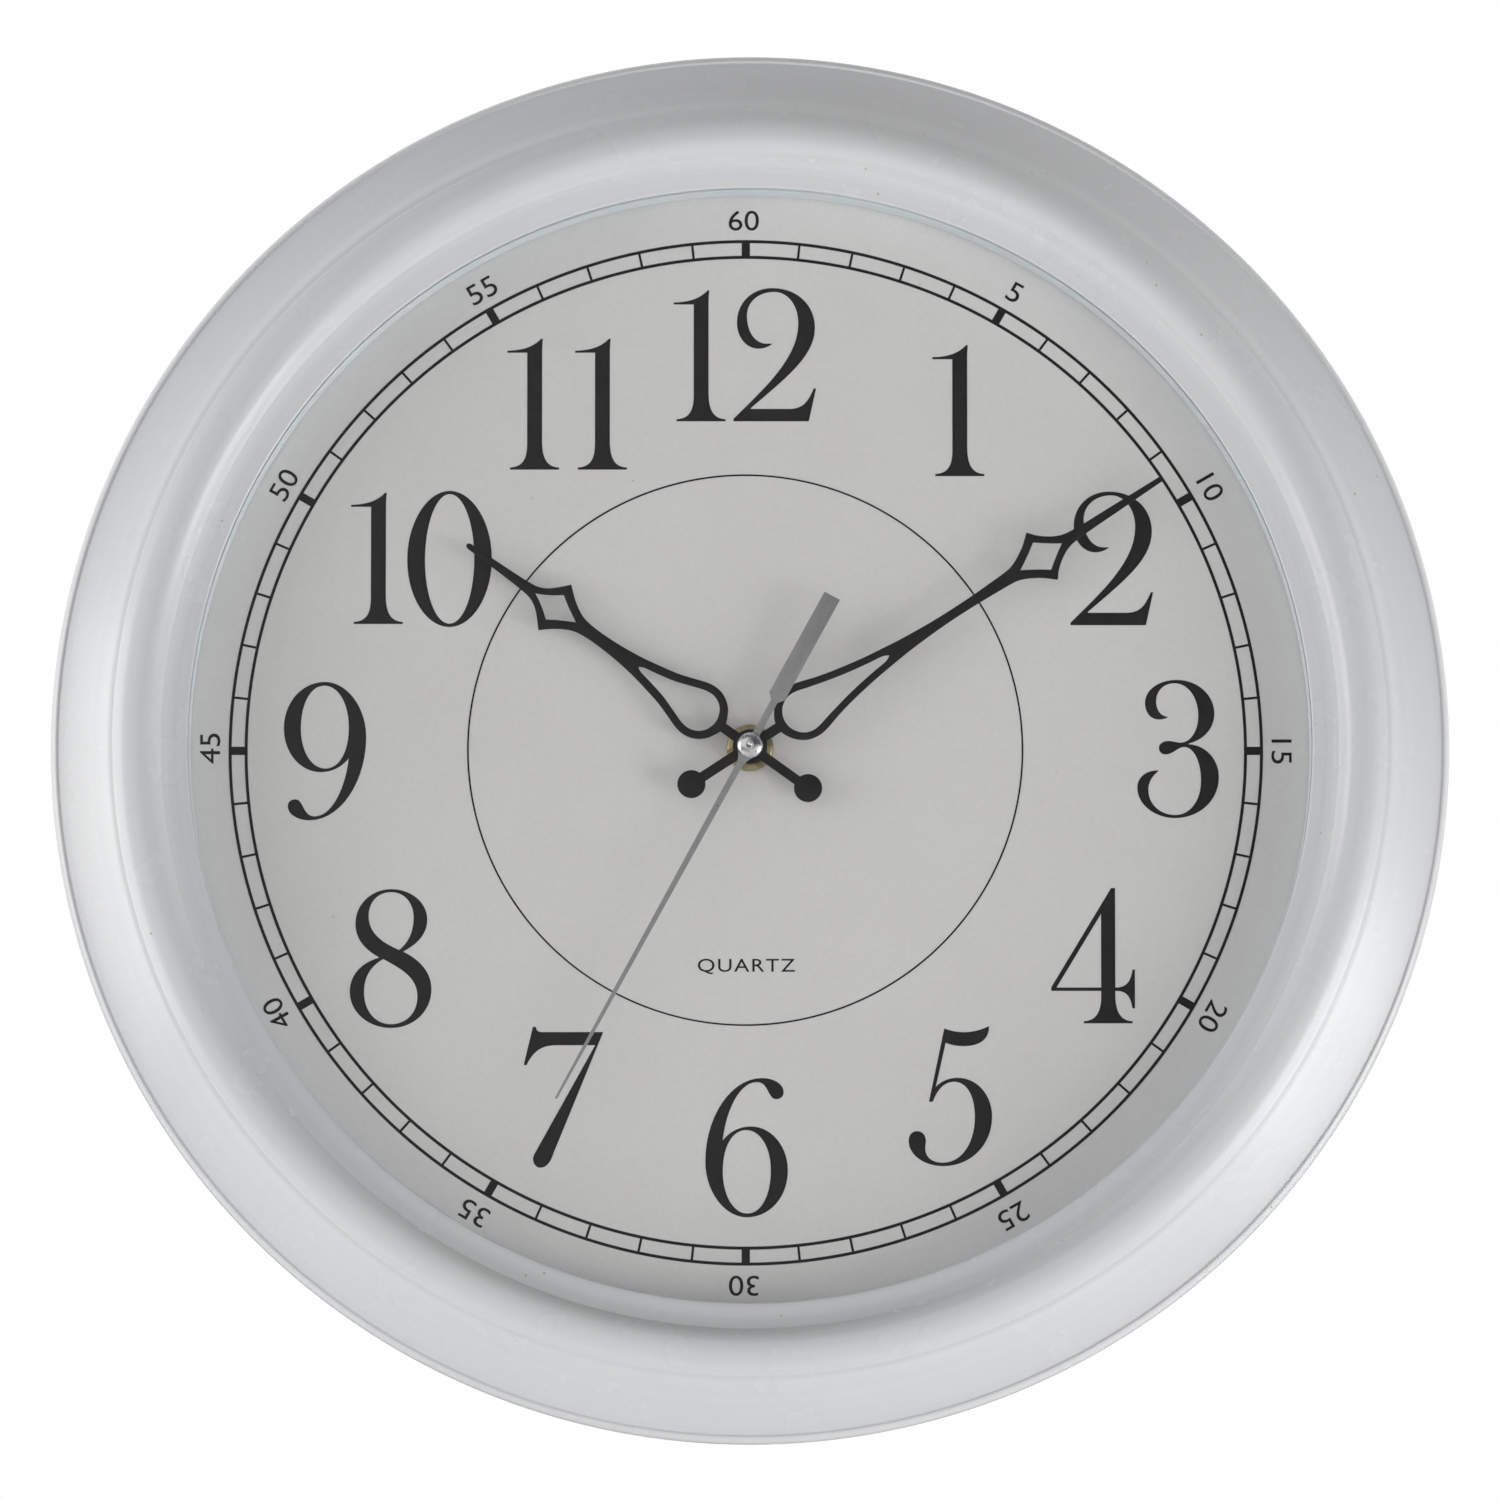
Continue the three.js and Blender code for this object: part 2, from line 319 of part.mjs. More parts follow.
// ---------------------------------------------------------------- the assembly
const PARTS = [
  ['case_frame', frameSolid, 0xf2f3f3, 0.32, 0.0],
  ['lens', lensSolid, 0xdfe9ea, 0.05, 0.0],
  ['spacer_ring', spacerSolid, 0xeef0f1, 0.45, 0.0],
  ['dial', dialSolid, 0xdedddb, 0.6, 0.0],
  ['back_cover', backSolid, 0xe9e9e7, 0.55, 0.0],
  ['hanger_plate', hangerSolid, 0xb4b7ba, 0.35, 0.9],
  ['movement_case', caseSolid, 0x1d1e20, 0.5, 0.0],
  ['movement_rear_cover', rearCoverSolid, 0x232427, 0.5, 0.0],
  ['middle_plate', middleSolid, 0x2b2c2e, 0.55, 0.0],
  ['threaded_bushing', bushingSolid, 0xb09a5c, 0.35, 0.9],
  ['rubber_washer', rubberSolid, 0x1a1a1a, 0.9, 0.0],
  ['brass_washer', washerSolid, 0xb7a067, 0.35, 0.9],
  ['brass_nut', nutSolid, 0xa8935c, 0.35, 0.9],
  ['battery_cell', cellSolid, 0x3c4147, 0.35, 0.2],
  ['positive_contact', posSolid, 0xc9c9c6, 0.3, 0.9],
  ['negative_spring', springSolid, 0xc9c9c6, 0.3, 0.9],
  ['circuit_board', boardSolid, 0x2f6b3c, 0.5, 0.0],
  ['control_chip', chipSolid, 0x141414, 0.4, 0.0],
  ['quartz_crystal', crystalSolid, 0xc3c6c9, 0.25, 0.9],
  ['coil_core', coreSolid, 0x8d9094, 0.4, 0.9],
  ['coil_bobbin', bobbinSolid, 0xe8e6de, 0.5, 0.0],
  ['coil_winding', windingSolid, 0xa35a2c, 0.35, 0.6],
  ['stator_plate', statorSolid, 0x9a9da0, 0.4, 0.9],
  ['rotor', rotorSolid, 0x4a4c50, 0.5, 0.2],
  ['intermediate_wheel', interSolid, 0xeceae2, 0.5, 0.0],
  ['second_wheel', secondSolid, 0xe9e7df, 0.5, 0.0],
  ['third_wheel', thirdSolid, 0xeceae2, 0.5, 0.0],
  ['centre_wheel', centreSolid, 0xc8b27c, 0.35, 0.8],
  ['minute_arbor', arborSolid, 0xb8a068, 0.35, 0.9],
  ['minute_wheel', minuteWheelSolid, 0xeceae2, 0.5, 0.0],
  ['hour_wheel', hourWheelSolid, 0xe4e2da, 0.5, 0.0],
  ['setting_knob', knobSolid, 0x2a2b2d, 0.5, 0.0],
  ['hour_hand', hourHandSolid, 0x1b1b1c, 0.5, 0.3],
  ['hour_collet', hourColletSolid, 0xb8a068, 0.35, 0.9],
  ['minute_hand', minuteHandSolid, 0x1b1b1c, 0.5, 0.3],
  ['minute_collet', minuteColletSolid, 0xb8a068, 0.35, 0.9],
  ['second_hand', secondHandSolid, 0x9a9a9a, 0.4, 0.6],
  ['second_hand_cap', capSolid, 0xd0d0ce, 0.25, 0.95],
];
for (let k = 0; k < SCREW_COUNT; k++) PARTS.push([`back_screw_${k + 1}`, screwSolid(axisAt(k, BOSS_R), 1.45, 3.2, BACK_Y1 + GAP, 1.7, 12), 0xb9bcbf, 0.35, 0.9]);
HS.forEach((p, k) => PARTS.push([`hanger_screw_${k + 1}`, screwSolid(p, 1.0, 2.3, BACK_Y1 + GAP + 1.2 + GAP, 1.0, 6.5, 10), 0xb9bcbf, 0.35, 0.9]));

const clock = new THREE.Group();
clock.position.set(0, 0, -HANG_DROP);
for (const [name, solid, color, roughness, metalness] of PARTS) {
  const mesh = new THREE.Mesh(toGeometry(solid), new THREE.MeshStandardMaterial({ color, roughness, metalness }));
  mesh.name = name;
  clock.add(mesh);
}
clock.updateMatrixWorld(true);
const assembly = new THREE.Group();
assembly.add(clock);
export default assembly;
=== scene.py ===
"""Sixteen-inch round wall clock: white moulded case ring, flat lens, printed dial, three hands and quartz movement.

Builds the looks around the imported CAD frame. Metres, front towards -Y, +Z up.
"""
import math
import re

import bpy
import numpy as np
from mathutils import Matrix, Vector


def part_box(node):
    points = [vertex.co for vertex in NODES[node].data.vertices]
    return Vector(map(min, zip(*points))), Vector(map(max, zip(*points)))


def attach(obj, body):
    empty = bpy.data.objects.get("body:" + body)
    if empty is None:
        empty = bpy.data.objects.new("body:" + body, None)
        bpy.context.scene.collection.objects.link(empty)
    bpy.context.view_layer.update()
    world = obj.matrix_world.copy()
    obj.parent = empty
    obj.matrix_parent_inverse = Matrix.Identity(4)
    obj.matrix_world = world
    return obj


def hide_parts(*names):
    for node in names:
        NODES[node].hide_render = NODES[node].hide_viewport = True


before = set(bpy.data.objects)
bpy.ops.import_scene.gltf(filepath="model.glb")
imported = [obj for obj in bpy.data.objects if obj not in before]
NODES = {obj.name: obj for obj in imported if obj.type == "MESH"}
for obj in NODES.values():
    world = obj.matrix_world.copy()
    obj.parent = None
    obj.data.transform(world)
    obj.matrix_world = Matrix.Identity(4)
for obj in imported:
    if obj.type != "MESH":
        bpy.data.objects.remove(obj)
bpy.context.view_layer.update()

MM = 0.001
_lo, _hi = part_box("dial")
CX, CZ = (_lo.x + _hi.x) / 2, (_lo.z + _hi.z) / 2      # clock axis
DIAL_FACE = _lo.y                                       # front face of the dial board
SEG = 256                                               # facets round the large rings
PRINT = 0.2903                                          # mm per unit of the dial artwork
ART_C = (749.2, 751.1)                                  # artwork point that lies on the clock axis


# ------------------------------------------------------------------ materials
def new_material(name):
    m = bpy.data.materials.new(name)
    m.use_nodes = True
    nt = m.node_tree
    for n in list(nt.nodes):
        nt.nodes.remove(n)
    out = nt.nodes.new("ShaderNodeOutputMaterial")
    p = nt.nodes.new("ShaderNodeBsdfPrincipled")
    nt.links.new(p.outputs["BSDF"], out.inputs["Surface"])
    return m, nt, p, out


def node(nt, kind, inputs=None, **props):
    n = nt.nodes.new(kind)
    for k, v in props.items():
        setattr(n, k, v)
    for k, v in (inputs or {}).items():
        n.inputs[k].default_value = v
    return n


def ramp(nt, fac, stops, interp="LINEAR"):
    r = nt.nodes.new("ShaderNodeValToRGB")
    r.color_ramp.interpolation = interp
    e = r.color_ramp.elements
    e.remove(e[1])
    e[0].position = stops[0][0]
    e[0].color = (*stops[0][1], 1)
    for pos, col in stops[1:]:
        e.new(pos).color = (*col, 1)
    nt.links.new(fac, r.inputs["Fac"])
    return r.outputs["Color"]


def grey(v):
    return (v, v, v)


def noise(nt, scale, detail=3.0, rough=0.55, vector=None, dist=0.0):
    n = node(nt, "ShaderNodeTexNoise", {"Scale": scale, "Detail": detail, "Roughness": rough, "Distortion": dist})
    if vector is None:
        tc = nt.nodes.new("ShaderNodeTexCoord")
        vector = tc.outputs["Object"]
    nt.links.new(vector, n.inputs["Vector"])
    return n.outputs["Fac"]


def add_bump(nt, p, height, strength, distance):
    b = node(nt, "ShaderNodeBump", {"Strength": strength, "Distance": distance})
    nt.links.new(height, b.inputs["Height"])
    nt.links.new(b.outputs["Normal"], p.inputs["Normal"])
    return b


def mix_color(nt, fac, a, b, blend="MIX"):
    m = nt.nodes.new("ShaderNodeMix")
    m.data_type = "RGBA"
    m.blend_type = blend
    for sock, val in ((m.inputs[0], fac), (m.inputs[6], a), (m.inputs[7], b)):
        if isinstance(val, bpy.types.NodeSocket):
            nt.links.new(val, sock)
        elif isinstance(val, (int, float)):
            sock.default_value = val
        else:
            sock.default_value = (*val, 1)
    return m.outputs[2]


def radius_height(nt, cx, cz):
    """Distance from the clock axis, for turned marks that follow the ring."""
    tc = nt.nodes.new("ShaderNodeTexCoord")
    sub = node(nt, "ShaderNodeVectorMath", operation="SUBTRACT")
    sub.inputs[1].default_value = (cx, 0, cz)
    nt.links.new(tc.outputs["Object"], sub.inputs[0])
    mul = node(nt, "ShaderNodeVectorMath", operation="MULTIPLY")
    mul.inputs[1].default_value = (1, 0, 1)
    nt.links.new(sub.outputs[0], mul.inputs[0])
    ln = node(nt, "ShaderNodeVectorMath", operation="LENGTH")
    nt.links.new(mul.outputs[0], ln.inputs[0])
    return ln.outputs["Value"], sub.outputs[0]


def plastic(name, c0, c1, rough, spec=0.5, grain=900.0, grain_depth=0.00002, mottle=22.0, coat=0.0, rough_var=0.06):
    """Moulded plastic: slow tone change, fine moulded grain, uneven gloss."""
    m, nt, p, _ = new_material(name)
    n1 = noise(nt, mottle, 4.0)
    nt.links.new(ramp(nt, n1, [(0.3, c0), (0.7, c1)]), p.inputs["Base Color"])
    n2 = noise(nt, 60.0, 5.0)
    nt.links.new(ramp(nt, n2, [(0.3, grey(max(0.02, rough - rough_var))), (0.7, grey(min(1, rough + rough_var)))]), p.inputs["Roughness"])
    p.inputs["Specular IOR Level"].default_value = spec
    if coat:
        p.inputs["Coat Weight"].default_value = coat
        p.inputs["Coat Roughness"].default_value = 0.12
    add_bump(nt, p, noise(nt, grain, 2.0), 0.35, grain_depth)
    return m


def metal(name, c0, c1, rough, rough_var=0.1, streak=None, metallic=1.0, tarnish=None, bump=0.00001):
    """Metal with streaked polish, blotchy tarnish and fine scratches."""
    m, nt, p, _ = new_material(name)
    p.inputs["Metallic"].default_value = metallic
    tc = nt.nodes.new("ShaderNodeTexCoord")
    mp = nt.nodes.new("ShaderNodeMapping")
    mp.inputs["Scale"].default_value = streak or (1, 1, 1)
    nt.links.new(tc.outputs["Object"], mp.inputs["Vector"])
    n1 = noise(nt, 260.0, 5.0, vector=mp.outputs["Vector"])
    col = ramp(nt, n1, [(0.3, c0), (0.7, c1)])
    if tarnish:
        n3 = noise(nt, 420.0, 4.0, 0.6)
        col = mix_color(nt, ramp(nt, n3, [(0.5, grey(0)), (0.7, grey(0.8))]), col, tarnish)
    nt.links.new(col, p.inputs["Base Color"])
    n2 = noise(nt, 700.0, 4.0, vector=mp.outputs["Vector"])
    nt.links.new(ramp(nt, n2, [(0.3, grey(max(0.04, rough - rough_var))), (0.7, grey(rough + rough_var))]), p.inputs["Roughness"])
    add_bump(nt, p, n2, 0.3, bump)
    return m


def case_white_material():
    """Glossy white moulded ring: faint turned lines, slow tone change, a few tan specks, uneven gloss."""
    m, nt, p, _ = new_material("case_white_plastic")
    r, rel = radius_height(nt, CX, CZ)
    wob = noise(nt, 9.0, 3.0)
    base = ramp(nt, wob, [(0.3, (0.845, 0.855, 0.870)), (0.7, (0.875, 0.882, 0.892))])
    # faint turned lines that run round the ring
    rs = node(nt, "ShaderNodeMath", operation="MULTIPLY")
    rs.inputs[1].default_value = 1.0
    nt.links.new(r, rs.inputs[0])
    cmb = nt.nodes.new("ShaderNodeCombineXYZ")
    nt.links.new(rs.outputs[0], cmb.inputs["X"])
    lines = noise(nt, 2600.0, 2.0, vector=cmb.outputs[0])
    broad = noise(nt, 420.0, 3.0, vector=cmb.outputs[0])
    base = mix_color(nt, 0.10, base, ramp(nt, broad, [(0.35, grey(0.6)), (0.65, grey(1.0))]), "MULTIPLY")
    # sparse tan specks
    v = node(nt, "ShaderNodeTexVoronoi", {"Scale": 190.0, "Randomness": 1.0})
    tc = nt.nodes.new("ShaderNodeTexCoord")
    nt.links.new(tc.outputs["Object"], v.inputs["Vector"])
    dot = ramp(nt, v.outputs["Distance"], [(0.03, grey(1)), (0.09, grey(0))])
    gate = ramp(nt, noise(nt, 34.0, 2.0), [(0.60, grey(0)), (0.66, grey(1))])
    both = mix_color(nt, 1.0, dot, gate, "MULTIPLY")
    col = mix_color(nt, both, base, (0.50, 0.44, 0.37))
    nt.links.new(col, p.inputs["Base Color"])
    g = noise(nt, 45.0, 4.0)
    nt.links.new(ramp(nt, g, [(0.3, grey(0.20)), (0.7, grey(0.30))]), p.inputs["Roughness"])
    p.inputs["Specular IOR Level"].default_value = 0.5
    h = mix_color(nt, 0.5, lines, noise(nt, 260.0, 2.0))
    add_bump(nt, p, h, 0.22, 0.000012)
    return m


def dial_material():
    """Printed matt board: warm light grey with soft mottling, paper tooth and sparse specks."""
    m, nt, p, _ = new_material("dial_board_print")
    a = ramp(nt, noise(nt, 16.0, 5.0, 0.6), [(0.3, (0.800, 0.792, 0.780)), (0.7, (0.832, 0.825, 0.812))])
    fine = ramp(nt, noise(nt, 620.0, 3.0), [(0.3, grey(0.965)), (0.7, grey(1.0))])
    a = mix_color(nt, 1.0, a, fine, "MULTIPLY")
    v = node(nt, "ShaderNodeTexVoronoi", {"Scale": 240.0, "Randomness": 1.0})
    tc = nt.nodes.new("ShaderNodeTexCoord")
    nt.links.new(tc.outputs["Object"], v.inputs["Vector"])
    dot = ramp(nt, v.outputs["Distance"], [(0.03, grey(1)), (0.11, grey(0))])
    gate = ramp(nt, noise(nt, 47.0, 2.0), [(0.64, grey(0)), (0.69, grey(0.8))])
    both = mix_color(nt, 1.0, dot, gate, "MULTIPLY")
    a = mix_color(nt, both, a, (0.50, 0.47, 0.43))
    nt.links.new(a, p.inputs["Base Color"])
    nt.links.new(ramp(nt, noise(nt, 30.0, 3.0), [(0.3, grey(0.52)), (0.7, grey(0.64))]), p.inputs["Roughness"])
    p.inputs["Specular IOR Level"].default_value = 0.35
    add_bump(nt, p, noise(nt, 1500.0, 2.0), 0.25, 0.00001)
    return m


def glass_material():
    """Clear flat acrylic that lets the lamps through."""
    m, nt, p, out = new_material("lens_acrylic")
    p.inputs["Base Color"].default_value = (1, 1, 1, 1)
    p.inputs["Transmission Weight"].default_value = 1.0
    p.inputs["IOR"].default_value = 1.28
    nt.links.new(ramp(nt, noise(nt, 40.0, 3.0), [(0.3, grey(0.0)), (0.7, grey(0.015))]), p.inputs["Roughness"])
    t = nt.nodes.new("ShaderNodeBsdfTransparent")
    lp = nt.nodes.new("ShaderNodeLightPath")
    mx = nt.nodes.new("ShaderNodeMixShader")
    nt.links.new(lp.outputs["Is Shadow Ray"], mx.inputs["Fac"])
    nt.links.new(p.outputs["BSDF"], mx.inputs[1])
    nt.links.new(t.outputs["BSDF"], mx.inputs[2])
    nt.links.new(mx.outputs["Shader"], out.inputs["Surface"])
    return m


M = {
    "case_white": case_white_material(),
    "dial_board": dial_material(),
    "lens_glass": glass_material(),
    "inner_white": plastic("inner_cool_white", (0.70, 0.765, 0.80), (0.76, 0.82, 0.85), 0.38, mottle=30.0),
    "ink": plastic("printed_black_ink", (0.0075, 0.0075, 0.0075), (0.0125, 0.0123, 0.012), 0.46, spec=0.25, grain=1600.0, grain_depth=0.00001, mottle=160.0),
    "ink_track": plastic("printed_track_ink", (0.004, 0.004, 0.004), (0.007, 0.007, 0.007), 0.45, spec=0.25, grain=1600.0, grain_depth=0.00001, mottle=160.0),
    "hand_black": plastic("black_lacquered_steel", (0.0035, 0.0033, 0.0033), (0.0075, 0.0072, 0.007), 0.42, spec=0.3, grain=1400.0, grain_depth=0.000012, mottle=140.0),
    "back_white": plastic("back_cover_white", (0.76, 0.76, 0.75), (0.82, 0.82, 0.81), 0.55, grain=700.0, grain_depth=0.00006),
    "black_plastic": plastic("movement_black_plastic", (0.018, 0.018, 0.019), (0.030, 0.030, 0.032), 0.48, grain=1300.0, grain_depth=0.00006),
    "gear_plastic": plastic("acetal_gear_plastic", (0.74, 0.72, 0.66), (0.81, 0.79, 0.73), 0.42, grain=1600.0, mottle=120.0),
    "rubber": plastic("black_rubber", (0.016, 0.016, 0.016), (0.026, 0.026, 0.026), 0.8, grain=1900.0, grain_depth=0.00005),
    "chip": plastic("epoxy_blob_black", (0.010, 0.010, 0.011), (0.018, 0.018, 0.019), 0.25, grain=2200.0),
    "magnet": plastic("ferrite_rotor", (0.05, 0.052, 0.056), (0.09, 0.092, 0.096), 0.55, grain=2500.0, mottle=300.0),
    "brass": metal("bright_brass", (0.66, 0.50, 0.24), (0.78, 0.61, 0.33), 0.30, tarnish=(0.42, 0.30, 0.14)),
    "nut": metal("aged_brass_nut", (0.40, 0.33, 0.19), (0.54, 0.46, 0.29), 0.40, tarnish=(0.25, 0.20, 0.11), bump=0.00003),
    "steel": metal("zinc_plated_steel", (0.60, 0.61, 0.62), (0.74, 0.75, 0.76), 0.30, streak=(1, 1, 6), tarnish=(0.45, 0.44, 0.42)),
    "cap": metal("satin_silver_cap", (0.74, 0.745, 0.75), (0.88, 0.885, 0.89), 0.22, streak=(1, 1, 1), tarnish=(0.52, 0.53, 0.53)),
    "spring": metal("spring_steel", (0.62, 0.60, 0.56), (0.78, 0.76, 0.72), 0.25, tarnish=(0.40, 0.36, 0.30)),
    "copper": metal("enamelled_copper", (0.55, 0.20, 0.07), (0.75, 0.32, 0.13), 0.32, streak=(22, 1, 1), bump=0.00008),
    "iron": metal("soft_iron_sheet", (0.36, 0.37, 0.38), (0.52, 0.53, 0.54), 0.42, streak=(5, 1, 1), tarnish=(0.26, 0.25, 0.24)),
    "hand_grey": metal("grey_lacquered_second", (0.30, 0.302, 0.305), (0.345, 0.347, 0.35), 0.36, metallic=0.35, streak=(1, 1, 1)),
}


def board_material():
    """Green solder mask over paler copper tracks."""
    m, nt, p, _ = new_material("solder_mask_green")
    b = node(nt, "ShaderNodeTexBrick", {"Scale": 260.0, "Mortar Size": 0.03, "Color1": (0.02, 0.13, 0.05, 1), "Color2": (0.016, 0.10, 0.04, 1), "Mortar": (0.06, 0.26, 0.10, 1)})
    tc = nt.nodes.new("ShaderNodeTexCoord")
    mp = nt.nodes.new("ShaderNodeMapping")
    mp.inputs["Rotation"].default_value = (math.radians(90), 0, 0)
    nt.links.new(tc.outputs["Object"], mp.inputs["Vector"])
    nt.links.new(mp.outputs["Vector"], b.inputs["Vector"])
    nt.links.new(b.outputs["Color"], p.inputs["Base Color"])
    nt.links.new(ramp(nt, noise(nt, 300.0), [(0.3, grey(0.25)), (0.7, grey(0.4))]), p.inputs["Roughness"])
    add_bump(nt, p, b.outputs["Fac"], 0.4, 0.00004)
    return m


def jacket_material(name, c0, c1, metallic):
    m, nt, p, _ = new_material(name)
    nt.links.new(ramp(nt, noise(nt, 90.0, 4.0), [(0.3, c0), (0.7, c1)]), p.inputs["Base Color"])
    nt.links.new(ramp(nt, noise(nt, 160.0, 4.0), [(0.3, grey(0.20)), (0.7, grey(0.34))]), p.inputs["Roughness"])
    p.inputs["Metallic"].default_value = metallic
    p.inputs["Coat Weight"].default_value = 0.5
    p.inputs["Coat Roughness"].default_value = 0.15
    add_bump(nt, p, noise(nt, 500.0, 3.0), 0.2, 0.00002)
    return m


M["board"] = board_material()
M["jacket_dark"] = jacket_material("cell_jacket_graphite", (0.035, 0.040, 0.048), (0.055, 0.060, 0.068), 0.3)
M["jacket_band"] = jacket_material("cell_jacket_copper_band", (0.45, 0.24, 0.11), (0.56, 0.32, 0.16), 0.7)

# the CAD nodes that stay in sight keep their own mesh and get a finished material
KEEP = {
    "back_cover": "back_white", "movement_case": "black_plastic", "movement_rear_cover": "black_plastic",
    "middle_plate": "black_plastic", "rubber_washer": "rubber", "brass_washer": "brass",
    "positive_contact": "spring", "negative_spring": "spring", "circuit_board": "board", "control_chip": "chip",
    "quartz_crystal": "steel", "coil_core": "iron", "coil_bobbin": "gear_plastic", "coil_winding": "copper",
    "stator_plate": "iron", "rotor": "magnet", "intermediate_wheel": "gear_plastic", "second_wheel": "gear_plastic",
    "third_wheel": "gear_plastic", "centre_wheel": "brass", "minute_arbor": "brass", "minute_wheel": "gear_plastic",
    "hour_wheel": "gear_plastic", "hour_collet": "brass", "minute_collet": "brass",
}
for cad_name, key in KEEP.items():
    mesh = NODES[cad_name].data
    mesh.materials.clear()
    mesh.materials.append(M[key])


# ------------------------------------------------------------------ mesh helpers
def make_object(name, verts, faces, mats, body, replaces=(), smooth=30.0, face_mats=None):
    me = bpy.data.meshes.new(name)
    me.from_pydata([tuple(v) for v in verts], [], faces)
    me.validate()
    for mt in mats:
        me.materials.append(mt)
    if face_mats is not None:
        me.polygons.foreach_set("material_index", np.array(face_mats, np.int32))
    if smooth is not None:
        me.polygons.foreach_set("use_smooth", np.ones(len(me.polygons), bool))
        me.set_sharp_from_angle(angle=math.radians(smooth))
    me.update()
    ob = bpy.data.objects.new(name, me)
    bpy.context.scene.collection.objects.link(ob)
    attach(ob, body)
    if replaces:
        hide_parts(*replaces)
    return ob


def spline(points, n=5, closed=False):
    """Centripetal Catmull-Rom through the points, n pieces between each pair."""
    P = [np.array(p, float) for p in points]
    if len(P) < 3:
        return [tuple(p) for p in P]
    ext = [P[-1]] + P + [P[0], P[1]] if closed else [2 * P[0] - P[1]] + P + [2 * P[-1] - P[-2]]
    out = []
    for i in range(1, len(ext) - 2):
        p0, p1, p2, p3 = ext[i - 1], ext[i], ext[i + 1], ext[i + 2]
        t = [0.0]
        for a, b in ((p0, p1), (p1, p2), (p2, p3)):
            t.append(t[-1] + max(np.linalg.norm(b - a), 1e-9) ** 0.5)
        for k in range(n):
            s = t[1] + (t[2] - t[1]) * k / n
            a1 = (t[1] - s) / (t[1] - t[0]) * p0 + (s - t[0]) / (t[1] - t[0]) * p1
            a2 = (t[2] - s) / (t[2] - t[1]) * p1 + (s - t[1]) / (t[2] - t[1]) * p2
            a3 = (t[3] - s) / (t[3] - t[2]) * p2 + (s - t[2]) / (t[3] - t[2]) * p3
            b1 = (t[2] - s) / (t[2] - t[0]) * a1 + (s - t[0]) / (t[2] - t[0]) * a2
            b2 = (t[3] - s) / (t[3] - t[1]) * a2 + (s - t[1]) / (t[3] - t[1]) * a3
            out.append(tuple((t[2] - s) / (t[2] - t[1]) * b1 + (s - t[1]) / (t[2] - t[1]) * b2))
    if not closed:
        out.append(tuple(P[-1]))
    return out


def runs(*parts, n=5):
    """Smooth runs joined at sharp corners: each part starts where the last one ends."""
    out = []
    for part in parts:
        s = spline(part, n)
        out += s if not out else s[1:]
    return out


def lathe(profile, seg, at=(0.0, 0.0), closed=True, mat_of=None, radius_of=None):
    """Turns (radius, y) millimetres about the axis through at=(x, z) mm from the clock axis. A radius of 0 closes to a point."""
    verts, faces, mats = [], [], []
    rings = []
    for r, y in profile:
        if r < 1e-6:
            verts.append((CX + at[0] * MM, y * MM, CZ + at[1] * MM))
            rings.append([len(verts) - 1] * seg)
        else:
            ring = []
            for k in range(seg):
                a = 2 * math.pi * k / seg
                rr = radius_of(r, y, k) if radius_of else r
                verts.append((CX + (at[0] + rr * math.sin(a)) * MM, y * MM, CZ + (at[1] + rr * math.cos(a)) * MM))
                ring.append(len(verts) - 1)
            rings.append(ring)
    pairs = list(zip(range(len(rings) - 1), range(1, len(rings))))
    if closed and profile[0][0] > 1e-6:
        pairs.append((len(rings) - 1, 0))
    for i, j in pairs:
        A, B = rings[i], rings[j]
        for k in range(seg):
            l = (k + 1) % seg
            f = [A[k], A[l], B[l], B[k]]
            g = []
            for v in f:
                if v not in g:
                    g.append(v)
            if len(g) >= 3:
                faces.append(g)
                mats.append(mat_of(i) if mat_of else 0)
    return verts, faces, mats


def fix_normals(ob):
    import bmesh
    bm = bmesh.new()
    bm.from_mesh(ob.data)
    bmesh.ops.recalc_face_normals(bm, faces=bm.faces)
    bm.to_mesh(ob.data)
    bm.free()
    ob.data.update()


def turned(name, profile, seg, mats, body, replaces=(), slot=None, at=(0.0, 0.0), smooth=30.0, extra=(), **kw):
    v, f, fm = lathe(profile, seg, at, **kw)
    for ev, ef, em in extra:
        base = len(v)
        v += ev
        f += [[i + base for i in face] for face in ef]
        fm += em
    ob = make_object(name, v, f, mats, body, replaces, None, fm)
    fix_normals(ob)
    ob.data.polygons.foreach_set("use_smooth", np.ones(len(ob.data.polygons), bool))
    ob.data.set_sharp_from_angle(angle=math.radians(smooth))
    return ob


